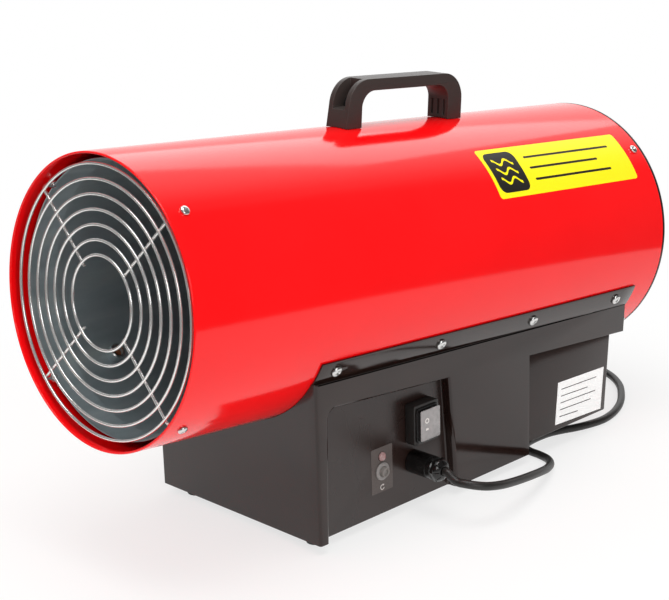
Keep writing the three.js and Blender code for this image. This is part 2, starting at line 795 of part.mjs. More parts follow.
function baseShell() {
  const left = baseWall(-baseHalfWidth, -innerX);
  const right = baseWall(innerX, baseHalfWidth)
    .subtract(acrossX(recessOutline(0), innerX - 1, baseHalfWidth + 1));
  const returns = acrossX(recessOutline(sheet), plateX - sheet - gap, baseHalfWidth)
    .subtract(acrossX(recessOutline(0), plateX - sheet - gap - 1, baseHalfWidth + 1));
  const frontTop = wallTop(baseFront);
  const frontFace = block(
    -baseHalfWidth, baseHalfWidth, baseFront, baseFront + sheet, -baseDepth, frontTop);
  const bulkheadTop = toFloor(baseRear, -casingRadius).z - 8;
  const bulkhead = block(-innerX, innerX, baseRear - sheet, baseRear, -baseDepth, bulkheadTop);
  const hatch = block(-60, 60, baseRear - 6, baseRear + 4, -baseDepth + 14, bulkheadTop - 12);
  const lip = 8.5; // turned in along the lower edges
  const besidePlate = plateX - sheet - gap - 1; // the lip there keeps clear of the control plate
  const lips = [
    block(-innerX - 0.2, -innerX + lip, baseFront, baseRear, -baseDepth, -baseDepth + sheet),
    block(besidePlate - lip, besidePlate, baseFront, baseRear, -baseDepth, -baseDepth + sheet),
    block(-innerX, innerX, baseFront, baseFront + lip, -baseDepth, -baseDepth + sheet),
    block(-innerX, innerX, baseRear - lip, baseRear, -baseDepth, -baseDepth + sheet),
  ];
  const pads = footY.flatMap((y) => [[-innerX, 12 - footX], [footX - 12, besidePlate]].map(
    ([x0, x1]) => block(x0, x1, y - 13, y + 13, -baseDepth, -baseDepth + sheet)));
  const shell = joined([left, right, returns, frontFace, bulkhead.subtract(hatch), ...lips, ...pads])
    .subtract(casingCutter(casingRadius + gap + 0.1));
  const flange = baseFlange();
  return joined([shell, flange, flange.mirror([1, 0, 0])]);
}
add(base, 'base_shell', baseShell(), finish.blackPaint);

const plateTop = -baseDepth + sheet + gap; // the bottom plate lies on the turned-in lips
const trayTop = plateTop + sheet;
const trayRight = plateX - sheet - 2 * gap - 2;
add(base, 'bottom_plate',
  block(-innerX + gap, trayRight, baseFront + sheet + gap, baseRear - sheet - gap, plateTop, trayTop),
  finish.blackPaint);

[-1, 1].forEach((s) => footY.forEach((y, i) => {
  const height = -baseDepth - gap;
  const profile = [
    [0, floorZ],
    [footRadius - 3.6, floorZ],
    [footRadius - 2.6, floorZ + 1],
    [footRadius, height - 1],
    [footRadius, height],
    [0, height],
  ];
  const turnedUp = new THREE.LatheGeometry(profile.map(([r, z]) => new THREE.Vector2(r, z)), 20)
    .rotateX(Math.PI / 2);
  const foot = solid(moved(turnedUp, s * footX, y, 0));
  add(base, `foot_${s > 0 ? 'right' : 'left'}_${i + 1}`, foot, finish.rubber);
}));

// ---------------------------------------------------------------- rear compartment

const boxHalf = innerX - gap;
const gasAt = { x: -45, z: -172 };

// A piece on the gas inlet's axis, which stands square to the compartment's rear wall.
function onInlet(y0, y1, radius, sides) {
  return bar([0, y0, 0], [0, y1, 0], radius, sides)
    .rotate([-noseUp / DEG, 0, 0])
    .translate([gasAt.x, squareAt(rearBoxEnd, gasAt.z), gasAt.z]);
}

function rearBox() {
  const from = baseRear + gap;
  const upper = toFloor(rearBoxEnd, bandBottom + 9);
  const outer = acrossX([
    [from, -rearBoxBottom],
    [squareAt(rearBoxEnd, -rearBoxBottom), -rearBoxBottom],
    [upper.y, upper.z],
    [from, lineHeight(bandBottom + 9, from)],
  ], -boxHalf, boxHalf);
  const inside = -rearBoxBottom + sheet;
  const hollow = acrossX([
    [from - 5, inside],
    [squareAt(rearBoxEnd, inside) - sheet, inside],
    [squareAt(rearBoxEnd, 20) - sheet, 20],
    [from - 5, 20],
  ], -boxHalf + sheet, boxHalf - sheet);
  const inlet = onInlet(-5, 5, 7, 16);
  return without(outer, [hollow, casingCutter(casingRadius + 2 * gap), inlet]);
}
add(base, 'rear_box', rearBox(), finish.blackPaint);

// ---------------------------------------------------------------- gas train

const inletReach = 16; // into the compartment
function gasInlet() {
  return joined([
    onInlet(-inletReach, 24, 6.6, 16),
    onInlet(gap, 8, 9.5, 6),
    onInlet(-sheet - gap - 6, -sheet - gap, 9.5, 6),
    onInlet(16, 24, 7.8, 16),
  ]);
}
add(base, 'gas_inlet', gasInlet(), finish.brass);

const valve = { x: gasAt.x, y: 335, z: gasAt.z, half: 17, length: 46 };
function solenoidValve() {
  const body = block(
    valve.x - valve.half, valve.x + valve.half, valve.y - valve.length / 2, valve.y + valve.length / 2,
    trayTop + gap, valve.z + 12);
  const coil = bar([valve.x, valve.y, valve.z + 10], [valve.x, valve.y, valve.z + 26], 13, 20);
  return body.add(coil);
}
add(base, 'solenoid_valve', solenoidValve(), finish.brass);

const feedRadius = 3;
function gasFeed() {
  const from = valve.y + valve.length / 2 + gap;
  const wall = squareAt(rearBoxEnd, gasAt.z);
  const onAxis = (back) => [
    gasAt.x, wall - back * Math.cos(noseUp), gasAt.z + back * Math.sin(noseUp)];
  const path = smooth([
    [gasAt.x, from, gasAt.z],
    [gasAt.x, from + 12, gasAt.z],
    [gasAt.x + 4, (from + wall) / 2, gasAt.z + 3],
    onAxis(inletReach + gap + 12),
    onAxis(inletReach + gap),
  ]);
  return solid(tube(path, feedRadius, 6, 10));
}
add(base, 'gas_feed', gasFeed(), finish.copper);

// From the valve's side up through the casing's passage to the nozzle.
function gasPipe() {
  const start = toFloor(nozzleRear + gap, 0);
  const passage = toFloor(352, -casingRadius);
  const path = smooth([
    [0, start.y, start.z],
    [0, start.y + 12, start.z - 1],
    [0, start.y + 28, start.z - 10],
    [0, passage.y - 2, start.z - 36],
    [0, passage.y, passage.z + 24],
    [0, passage.y, passage.z - 6],
    [-6, passage.y - 4, valve.z + 14],
    [-16, valve.y + 4, valve.z + 1],
    [valve.x + valve.half + 10, valve.y, valve.z],
    [valve.x + valve.half + gap, valve.y, valve.z],
  ]);
  return solid(tube(path, feedRadius, 6, 24));
}
add(base, 'gas_pipe', gasPipe(), finish.copper);

// Ignition and flame control unit on the bottom plate.
function controlUnit() {
  const body = block(-30, 44, 150, 222, trayTop + gap, -158);
  const ribs = Array.from({ length: 5 }, (_, i) => block(-26, 40, 158 + 13 * i, 161 + 13 * i, -160, -155));
  const socket = block(40, 50, 176, 206, -190, -170);
  return joined([body, ...ribs, socket]);
}
add(base, 'control_unit', controlUnit(), finish.blackPlastic);

// ---------------------------------------------------------------- control plate

const switchCut = { width: bezel.width - 6, height: bezel.height - 6 };
const plateBack = plateX - sheet;

function rectangle(at, width, height, x0, x1) {
  return block(x0, x1, at.y - width / 2, at.y + width / 2, at.z - height / 2, at.z + height / 2);
}

function bore(at, radius, sides = 20) {
  return bar([plateBack - 3, at.y, at.z], [plateX + 3, at.y, at.z], radius, sides);
}

const glandThread = 8;
const bushRadius = resetRadius + 1.7;
function controlPlate() {
  const plate = acrossX(recessOutline(-gap), plateBack, plateX);
  return without(plate, [
    rectangle(switchAt, switchCut.width, switchCut.height, plateBack - 2, plateX + 2),
    bore(glandAt, glandThread + gap),
    bore(resetAt, bushRadius + gap),
    bore(lampAt, lampRadius + gap),
  ]);
}
add(base, 'control_plate', controlPlate(), finish.blackPaint);

// ---------------------------------------------------------------- switch

const pivotX = plateX + bezel.stands - 4;

function switchBody() {
  const seatX = plateX + gap;
  const frame = rectangle(switchAt, bezel.width, bezel.height, seatX, plateX + bezel.stands);
  const body = rectangle(
    switchAt, switchCut.width - 2 * gap, switchCut.height - 2 * gap, plateBack - 20, seatX + 1);
  const well = rectangle(
    switchAt, rockerSize.width + 1.6, rockerSize.height + 1.8, plateX - 6, plateX + bezel.stands + 1);
  const terminals = [-7, 0, 7].map((dz) => block(
    plateBack - 28, plateBack - 19, switchAt.y - 3, switchAt.y + 3, switchAt.z + dz - 0.5, switchAt.z + dz + 0.5));
  return without(joined([frame, body, ...terminals]), [well]);
}
add(base, 'switch_body', switchBody(), finish.blackPlastic);

// The rocker stands in its off position: the lower half is pressed in.
function rocker() {
  const half = rockerSize.height / 2;
  const face = rockerSize.thick;
  const section = [
    [-half, face - 1.4],
    [-half, -0.5],
    [0, -4],
    [half, -0.5],
    [half, face - 1.4],
    [half - 1.5, face],
    [0, face - 1.6],
    [-half + 1.5, face],
  ].map(([z, x]) => [
    x * Math.cos(rockerTilt) + z * Math.sin(rockerTilt),
    z * Math.cos(rockerTilt) - x * Math.sin(rockerTilt),
  ]);
  const width = rockerSize.width / 2;
  return alongY(section, -width, width).translate([pivotX, switchAt.y, switchAt.z]);
}
add(base, 'switch_rocker', rocker(), finish.blackPlastic);

// Clear splash boot over the rocker.
function switchBoot() {
  const base0 = plateX + bezel.stands + gap;
  const outer = { width: rockerSize.width + 6, height: rockerSize.height + 6 };
  const front = plateX + bootStands;
  const skirt = rectangle(switchAt, outer.width + 2, outer.height + 2, base0, base0 + 1.2);
  const dome = rectangle(switchAt, outer.width - 1, outer.height - 1, base0, front);
  const well = rectangle(
    switchAt, outer.width - 1 - 2 * bootWall, outer.height - 1 - 2 * bootWall, base0 - 1, front - bootWall);
  return joined([skirt, dome]).subtract(well);
}
add(base, 'switch_boot', switchBoot(), finish.clearRubber);

// ---------------------------------------------------------------- reset button and lamp

const bushInner = resetRadius + 0.3;
add(base, 'reset_bush', solid(turnedAlongX([
  [bushInner, plateBack - 12],
  [bushRadius, plateBack - 12],
  [bushRadius, plateX + gap],
  [bushRadius + 1.4, plateX + gap],
  [bushRadius + 1.4, plateX + 1.2],
  [bushRadius + 0.6, plateX + 1.8],
  [bushInner, plateX + 1.8],
], 20, resetAt)), finish.blackPlastic);

add(base, 'reset_button', solid(turnedAlongX([
  [0, plateBack - 8],
  [resetRadius, plateBack - 8],
  [resetRadius, plateX + resetStands + 1.8],
  [resetRadius - 0.7, plateX + resetStands + 2.4],
  [0, plateX + resetStands + 2.4],
], 20, resetAt)), finish.ceramic);

add(base, 'indicator_lamp', solid(turnedAlongX([
  [0, plateBack - 9],
  [lampRadius, plateBack - 9],
  [lampRadius, plateX + gap],
  [lampRadius + 0.9, plateX + gap],
  [lampRadius + 0.9, plateX + 1],
  [lampRadius - 0.4, plateX + 2.2],
  [0, plateX + 2.9],
], 16, lampAt)), finish.lampLens);

// ---------------------------------------------------------------- cable gland

const cordBore = cordDiameter / 2 + gap;
const glandTip = plateX + glandReach;
function cableGland() {
  const seatX = plateX + gap;
  const nutX = glandTip - 7.5;
  const body = solid(turnedAlongX([
    [cordBore, plateBack - 14],
    [glandThread, plateBack - 14],
    [glandThread, seatX],
    [glandRadius, seatX],
    [glandRadius, nutX - 5.6],
    [glandRadius - 0.7, nutX - 5],
    [glandRadius, nutX - 4.4],
    [glandRadius - 0.2, nutX - 0.8],
    [glandRadius - 1, nutX],
    [glandRadius - 0.6, nutX + 4],
    [glandRadius - 2.6, nutX + 6],
    [cordBore + 1, glandTip],
    [cordBore, glandTip],
  ], 16, glandAt));
  const hex = bar(
    [nutX, glandAt.y, glandAt.z], [nutX + 4, glandAt.y, glandAt.z], glandRadius + 0.6, 6);
  const through = bar(
    [plateBack - 16, glandAt.y, glandAt.z], [glandTip + 2, glandAt.y, glandAt.z], cordBore, 16);
  return joined([body, hex]).subtract(through);
}
add(base, 'cable_gland', cableGland(), finish.blackPlastic, true);

add(base, 'gland_nut', bar(
  [plateBack - gap - 5, glandAt.y, glandAt.z], [plateBack - gap, glandAt.y, glandAt.z], 11.4, 6)
  .subtract(bore(glandAt, glandThread + gap).translate([-4, 0, 0])), finish.blackPlastic);

// ---------------------------------------------------------------- mains lead

const leadLow = floorZ + cordDiameter / 2 + 0.2; // its centre where it lies on the floor
const layerZ = floorZ + cordDiameter / 2 + coilLift;
const coilOuter = coilMeanRadius + (coilTurns / 4) * coilPitch;
const coilStart = [coilCentre.x, coilCentre.y + coilOuter, layerZ];

const leadPoints = [
  [glandTip + gap, glandAt.y, glandAt.z],
  [glandTip + 3.4, glandAt.y, glandAt.z - 0.1],
  [glandTip + 7.6, glandAt.y + 0.2, glandAt.z - 3],
  [133, 238, -176.2],
  [140, 240, -176.6],
  [146, 244.5, -177.6],
  [150.5, 252.5, -179.6],
  [151.5, 269, -183.4],
  [147.5, 292, -188.6],
  [141.5, 318, -194],
  [134.5, 340, -199.2],
  [126.5, 359, -204.2],
  [116.5, 376, -207.8],
  [106.5, 384.6, leadLow],
  [95, 387.4, leadLow],
  [83, 388.6, leadLow],
  [74, 393.4, leadLow],
  [70, 402.5, leadLow],
  [68.6, 418, leadLow],
  [69.6, 433, leadLow],
  [73.6, 446, leadLow],
  [79, 459, leadLow],
  [83.4, 475, leadLow],
  [85.4, 491, leadLow],
  [83, 508, leadLow],
  [77.5, 524, leadLow],
  [69.5, 540, leadLow],
  [58, 557, leadLow],
  [42, 576, leadLow],
  [21, 592, leadLow],
  [-3, 602, leadLow + 0.3],
  [coilStart[0] + 16, coilStart[1] - 0.6, layerZ],
  [coilStart[0] + 2 * gap, coilStart[1], layerZ],
];
add(base, 'power_cord', solid(tube(smooth(leadPoints), cordDiameter / 2, cordSides, 52)), finish.lead, true);

// The loops wind inwards on the floor, climb, and wind outwards again on top.
const plugEntry = { x: coilCentre.x - 22, y: coilStart[1], z: floorZ + plugRadius + 0.2 };
function coilPoint(turn) {
  const half = coilTurns / 2;
  const angle = Math.PI / 2 + 2 * Math.PI * turn;
  const radius = coilOuter - coilPitch * (half - Math.abs(turn - half));
  const rise = THREE.MathUtils.smoothstep(turn, half - 0.25, half + 0.25);
  return new THREE.Vector3(
    coilCentre.x + radius * Math.cos(angle),
    coilCentre.y + radius * Math.sin(angle),
    layerZ + coilPitch * rise);
}

class CoilCurve extends THREE.Curve {
  constructor(tail) {
    super();
    this.tail = tail;
    this.share = 0.955; // of the curve's parameter spent on the loops
  }

  getPoint(t, target = new THREE.Vector3()) {
    if (t <= this.share) return target.copy(coilPoint((coilTurns * t) / this.share));
    return this.tail.getPoint((t - this.share) / (1 - this.share), target);
  }
}

function cordCoil() {
  const end = coilPoint(coilTurns);
  const tail = new THREE.CubicBezierCurve3(
    end,
    new THREE.Vector3(end.x - 8, end.y, end.z),
    new THREE.Vector3(plugEntry.x + 10, plugEntry.y, plugEntry.z),
    new THREE.Vector3(plugEntry.x + gap, plugEntry.y, plugEntry.z));
  return solid(tube(new CoilCurve(tail), cordDiameter / 2, 6, 24 * coilTurns + 6));
}
add(base, 'cord_coil', cordCoil(), finish.lead, true);

function leastCoilGap() {
  const steps = 60 * coilTurns;
  const points = Array.from({ length: steps + 1 }, (_, i) => coilPoint((coilTurns * i) / steps));
  let least = Infinity;
  for (let i = 0; i < points.length; i++) {
    for (let j = i + 24; j < points.length; j++) {
      least = Math.min(least, points[i].distanceTo(points[j]));
    }
  }
  return least - cordDiameter;
}
console.log(`cord_coil: least gap between turns ${leastCoilGap().toFixed(2)} mm`);

// A strap round all the turns, on the side away from the ends.
function coilTie() {
  const middle = coilMeanRadius;
  const halfWide = coilPitch / 2 + cordDiameter / 2 + 0.9;
  const low = layerZ - cordDiameter / 2 - gap;
  const high = layerZ + coilPitch + cordDiameter / 2 + gap;
  const wall = 0.7;
  const outerBand = block(-4, 4, -halfWide - wall, halfWide + wall, low - wall, high + wall);
  const innerBand = block(-5, 5, -halfWide, halfWide, low, high);
  return outerBand.subtract(innerBand)
    .translate([coilCentre.x, coilCentre.y - middle, 0]);
}
add(base, 'cord_tie', coilTie(), finish.rubber, true);

function mainsPlug() {
  const at = { y: plugEntry.y, z: plugEntry.z };
  const entry = plugEntry.x;
  const body = solid(turnedAlongX([
    [0, -entry + gap],
    [cordDiameter / 2 + 0.8, -entry + gap],
    [cordDiameter / 2 + 2.4, -entry + 12],
    [11, -entry + 17],
    [15.5, -entry + 30],
    [plugRadius, -entry + 34],
    [plugRadius, -entry + 46],
    [plugRadius - 1, -entry + 47],
    [0, -entry + 47],
  ], 16, { y: 0, z: 0 })).mirror([1, 0, 0]).translate([0, at.y, at.z]);
  const face = entry - 47;
  const pins = [-1, 1].map((s) => bar(
    [face + 1, at.y + 9.5 * s, at.z], [face - 18, at.y + 9.5 * s, at.z], 2.4, 8));
  return joined([body, ...pins]);
}
add(base, 'mains_plug', mainsPlug(), finish.blackPlastic, true);

// ---------------------------------------------------------------- stand it on its origin

// The origin is under the middle of the heater, on the floor, the lead left out.
heater.updateMatrixWorld(true);
const extent = new THREE.Box3();
heater.traverse((part) => {
  if (part.isMesh && !leadNodes.includes(part)) extent.expandByObject(part, true);
});
const centre = extent.getCenter(new THREE.Vector3());
heater.position.set(-centre.x, -centre.y, -extent.min.z);

export default heater;
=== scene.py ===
"""Looks of a portable gas forced air heater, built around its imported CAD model.

Pieces are modelled in millimetres in two spaces. FLOOR stands level and CASING leans back
with the round casing. Both have their origin in the middle of the outlet rim. Warm air
leaves at -Y, the fan draws at +Y, the controls face +X and Z is up.
"""

import math

import bmesh
import bpy
from mathutils import Matrix, Vector


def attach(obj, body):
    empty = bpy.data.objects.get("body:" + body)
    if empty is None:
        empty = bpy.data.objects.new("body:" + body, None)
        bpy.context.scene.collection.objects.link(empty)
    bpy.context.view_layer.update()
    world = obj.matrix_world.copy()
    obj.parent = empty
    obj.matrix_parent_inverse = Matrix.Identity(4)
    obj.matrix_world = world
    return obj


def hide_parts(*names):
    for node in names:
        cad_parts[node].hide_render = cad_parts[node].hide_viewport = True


bl_info = {
    "name": "Forced air heater",
    "version": (1, 0, 0),
    "blender": (4, 5, 0),
    "location": "View3D > Sidebar > Heater",
    "description": "Builds the visible pieces of a portable forced air heater",
    "category": "Add Mesh"
}

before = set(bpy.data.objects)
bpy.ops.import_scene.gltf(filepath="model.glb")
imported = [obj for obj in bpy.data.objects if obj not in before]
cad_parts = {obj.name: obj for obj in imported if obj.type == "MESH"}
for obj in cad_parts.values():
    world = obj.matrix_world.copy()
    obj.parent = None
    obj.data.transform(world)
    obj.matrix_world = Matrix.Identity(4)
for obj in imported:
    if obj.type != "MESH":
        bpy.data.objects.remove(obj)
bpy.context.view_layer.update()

# ------------------------------------------------------------------ shared dimensions, mm

LEAN = math.radians(4.8)
SHIFT = Vector((0.0, -272.985, 212.6))  # outlet centre to the origin on the floor
FLOOR = Matrix.Scale(0.001, 4) @ Matrix.Translation(SHIFT)
CASING = FLOOR @ Matrix.Rotation(-LEAN, 4, "X")

DIAGONALS = (45, 135, 225, 315)
FRONT_SCREW_Y = 16.7
REAR_SCREW_Y = 534.0
CASING_LENGTH = 544.5
CASING_RADIUS = 110.0

BASE_HALF = 95.0
BASE_FRONT = 124.0
BASE_REAR = 374.0
BASE_BOTTOM = -204.6
BAND_END = 515.4  # along the casing, and square to it
BAND_BOTTOM = -83.0
SHEET = 1.2
FLANGE_INNER = CASING_RADIUS + 0.4
FLANGE_OUTER = FLANGE_INNER + SHEET
FLANGE_FROM, FLANGE_TO = -24.4, -34.9  # degrees, at the flange's front end
FLANGE_TWIST = 3.8
FLANGE_START = BASE_FRONT / math.cos(LEAN) + 6
FLANGE_SCREW_Y = (148.5, 264.0, 378.0, 492.0)
BOX_END = 497.2  # along the casing, and square to it
RECESS_DEPTH = 9.0
PLATE_X = BASE_HALF - RECESS_DEPTH
FLOOR_Z = -212.6
FOOT_Y = (140, 350)
GAP = 0.3  # between pieces that seat on each other


def metres(prop):
    """A length setting in the millimetres that the shapes use."""
    return prop * 1000


def line_height(z, y):
    """Level-frame height at y of a line that runs parallel to the casing at height z."""
    return (z - y * math.sin(LEAN)) / math.cos(LEAN)


def to_floor(y, z):
    """Level-frame (y, z) of a point in the casing's frame."""
    return (y * math.cos(LEAN) + z * math.sin(LEAN), z * math.cos(LEAN) - y * math.sin(LEAN))


def square_at(y, z):
    """Level-frame y, at height z, of the plane square to the casing at its length y."""
    return y / math.cos(LEAN) + z * math.tan(LEAN)


def flange_turn(y):
    """How far the flange has climbed round the casing at its length y, in degrees."""
    return FLANGE_TWIST * (y - FLANGE_START) / (BAND_END - FLANGE_START)


def fold_height(y):
    """Height of the fold between flange and wall, in the casing's frame."""
    return FLANGE_OUTER * math.sin(math.radians(FLANGE_TO + flange_turn(y))) + 0.7


# ------------------------------------------------------------------ colours and nodes


def srgb(code, alpha=1.0):
    """Linear colour of an sRGB hex code."""
    parts = [int(code[i : i + 2], 16) / 255 for i in (1, 3, 5)]
    linear = [c / 12.92 if c <= 0.04045 else ((c + 0.055) / 1.055) ** 2.4 for c in parts]
    return (*linear, alpha)


def add(tree, kind, inputs=None, **settings):
    """Adds a node, with its settings, and values or links for its inputs."""
    made = tree.nodes.new("ShaderNode" + kind)
    for name, value in settings.items():
        setattr(made, name, value)
    for socket, value in (inputs or {}).items():
        if isinstance(value, bpy.types.NodeSocket):
            tree.links.new(value, made.inputs[socket])
        else:
            made.inputs[socket].default_value = value
    return made


def material(name, shader):
    """A new material whose nodes shader(tree) makes. It returns the closing socket."""
    made = bpy.data.materials.new(name)
    made.use_nodes = True
    tree = made.node_tree
    tree.nodes.clear()
    add(tree, "OutputMaterial", {"Surface": shader(tree)})
    return made


def grain(tree, size_mm, detail=2.0, rough=0.5, stretch=(1, 1, 1)):
    """Noise whose features are size_mm across, in the object's own space."""
    place = add(tree, "TexCoord").outputs["Object"]
    mapped = add(tree, "Mapping", {"Vector": place, "Scale": stretch}).outputs["Vector"]
    inputs = {"Vector": mapped, "Scale": 1000 / size_mm, "Detail": detail, "Roughness": rough}
    return add(tree, "TexNoise", inputs).outputs["Fac"]


def ramp(tree, factor, stops):
    """A colour ramp of (position, hex code) stops."""
    made = add(tree, "ValToRGB", {"Fac": factor})
    elements = made.color_ramp.elements
    while len(elements) < len(stops):
        elements.new(0.5)
    for element, (position, code) in zip(elements, stops):
        element.position = position
        element.color = srgb(code)
    return made.outputs["Color"]


def calculated(tree, operation, a, b):
    """The result of a math node with two inputs."""
    return add(tree, "Math", {0: a, 1: b}, operation=operation).outputs[0]


def spread(tree, factor, low, high):
    """Maps a 0 to 1 factor to low to high."""
    return add(tree, "MapRange", {"Value": factor, "To Min": low, "To Max": high}).outputs["Result"]


def bump(tree, height, depth_mm):
    """Relief of depth_mm from a 0 to 1 height."""
    inputs = {"Height": height, "Distance": depth_mm / 1000, "Strength": 1.0}
    return add(tree, "Bump", inputs).outputs["Normal"]


def mottled(tree, factor, most, low, high="#FFFFFF"):
    """The colour low, with up to the share most of the colour high where the factor is 1."""
    mix = add(tree, "Mix", {"Factor": spread(tree, factor, 0.0, most)}, data_type="RGBA")
    mix.inputs["A"].default_value = low if isinstance(low, tuple) else srgb(low)
    mix.inputs["B"].default_value = srgb(high)
    return mix.outputs["Result"]


def surface(tree, colour, rough, **more):
    """The closing socket of a Principled shader. more holds other inputs, such as coat_weight."""
    titles = {key: key.upper() if key == "ior" else key.replace("_", " ").title() for key in more}
    inputs = {"Base Color": colour, "Roughness": rough}
    inputs.update((titles[key], value) for key, value in more.items())
    return add(tree, "BsdfPrincipled", inputs).outputs["BSDF"]


# ------------------------------------------------------------------ finishes


def red_powder_coat(tree):
    """Gloss polyester powder on rolled steel: full red, faint orange peel, slow tone drift."""
    peel = grain(tree, 2.2, detail=1.0)
    tone = ramp(tree, grain(tree, 90, detail=2.0), [(0.3, "#F9050B"), (0.7, "#FF090F")])
    return surface(
        tree, tone, spread(tree, grain(tree, 35), 0.09, 0.15), ior=1.48, normal=bump(tree, peel, 0.006)
    )


def black_powder_coat(rough):
    """Warm black powder on folded steel, with a little orange peel: nearly a mirror if gloss."""

    def shader(tree):
        peel = grain(tree, 2.6, detail=1.0)
        wipe = grain(tree, 28, detail=3.0, stretch=(1, 1, 0.4))
        tone = ramp(tree, grain(tree, 60), [(0.3, "#211512"), (0.7, "#281A16")])
        return surface(
            tree, tone, spread(tree, wipe, rough, rough + 0.07), ior=1.5, normal=bump(tree, peel, 0.006)
        )

    return shader


def moulded_abs(code, rough, texture, wear=0.12):
    """Moulded ABS with a fine spark-eroded grain that softens its highlights."""

    def shader(tree):
        spark = grain(tree, 0.9, detail=4.0, rough=0.65)
        tone = mottled(tree, grain(tree, 20), wear, code, "#5A504C")
        rough_map = spread(tree, spark, rough - 0.06, rough + 0.08)
        return surface(tree, tone, rough_map, ior=1.53, normal=bump(tree, spark, texture))

    return shader


def enamelled_liner(tree):
    """Aluminised steel liner with a grey-green heat-proof enamel, streaked along the air, its grey lightened as
    painted light.
    """
    streak = grain(tree, 14, detail=5.0, stretch=(1, 0.15, 1))
    speck = grain(tree, 1.2, detail=3.0)
    # These greys are far lighter than the enamel's own: painted light for the deep drum, which the lamps barely
    # reach
    tone = ramp(tree, streak, [(0.3, "#93A2A6"), (0.55, "#A2B0B4"), (0.75, "#B0BDBC")])
    return surface(tree, tone, spread(tree, speck, 0.34, 0.5), metallic=0.35, normal=bump(tree, speck, 0.03))


def rolled_metal(code, rough, streak_mm=1.6, stretch=(1, 0.06, 1), tint="#FFFFFF", metallic=1.0):
    """Sheet or bar metal with fine rolling or turning marks along one way."""

    def shader(tree):
        marks = grain(tree, streak_mm, detail=4.0, stretch=stretch)
        tone = mottled(tree, grain(tree, 18, detail=3.0), 0.25, code, tint)
        rough_map = spread(tree, marks, rough - 0.08, rough + 0.12)
        return surface(tree, tone, rough_map, metallic=metallic, normal=bump(tree, marks, 0.012))

    return shader


def heat_tinted_steel(tree):
    """Stainless steel blued and browned in bands by the flame."""
    place = add(tree, "TexCoord").outputs["Object"]
    along = add(tree, "SeparateXYZ", {"Vector": place}).outputs["Y"]
    offset = calculated(tree, "MULTIPLY", grain(tree, 22, detail=3.0), 0.02)
    wavy = calculated(tree, "ADD", along, offset)
    band = add(tree, "MapRange", {"Value": wavy, "From Min": -0.05, "From Max": 0.03}).outputs["Result"]
    stops = [(0.0, "#5B4A3C"), (0.3, "#6C5A6E"), (0.5, "#566A86"), (0.7, "#8C7A52"), (1.0, "#8E8C88")]
    rough_map = spread(tree, grain(tree, 3, detail=4.0), 0.3, 0.5)
    return surface(
        tree, ramp(tree, band, stops), rough_map, metallic=1.0, normal=bump(tree, grain(tree, 1.4), 0.02)
    )


def rubber(code, rough, texture, tone="#3A3836"):
    """Moulded or extruded rubber: dull, with a dusty bloom on its high spots."""

    def shader(tree):
        skin = grain(tree, 0.7, detail=4.0, rough=0.7)
        colour = mottled(tree, grain(tree, 9, detail=3.0), 0.22, code, tone)
        rough_map = spread(tree, skin, rough - 0.08, rough + 0.1)
        return surface(tree, colour, rough_map, ior=1.52, normal=bump(tree, skin, texture))

    return shader


def clear_vinyl(tree):
    """Soft clear PVC: see-through with a slight haze and a wet shine."""
    haze = grain(tree, 4, detail=3.0)
    tone = ramp(tree, haze, [(0.3, "#9A9696"), (0.7, "#ACA8A7")])
    clear = {"ior": 1.46, "transmission_weight": 0.25, "coat_weight": 0.6}
    return surface(tree, tone, spread(tree, haze, 0.05, 0.14), normal=bump(tree, haze, 0.05), **clear)


def printed_vinyl(low, high, rough=0.24):
    """Self-adhesive printed vinyl: even ink under a smooth film that ripples very slightly."""

    def shader(tree):
        ripple = grain(tree, 12, detail=2.0)
        tone = ramp(tree, grain(tree, 0.8, detail=2.0), [(0.35, low), (0.65, high)])
        rough_map = spread(tree, ripple, rough - 0.05, rough + 0.07)
        return surface(tree, tone, rough_map, ior=1.5, normal=bump(tree, ripple, 0.03))

    return shader


def glazed_ceramic(tree):
    """Glazed alumina: off-white with a glassy skin and a few iron specks."""
    tone = ramp(tree, grain(tree, 0.8, detail=5.0), [(0.28, "#B9AE9A"), (0.36, "#E9E4D8")])
    return surface(tree, tone, spread(tree, grain(tree, 5), 0.14, 0.26), ior=1.6, coat_weight=0.6)


def lamp_lens(tree):
    """Pale red polycarbonate lens, unlit, milky with a clear skin."""
    milk = grain(tree, 1.5, detail=3.0)
    tone = ramp(tree, milk, [(0.3, "#A67F7D"), (0.7, "#B99492")])
    rough_map = spread(tree, milk, 0.1, 0.18)
    return surface(tree, tone, rough_map, ior=1.58, transmission_weight=0.25, coat_weight=0.5)


FINISH = {}


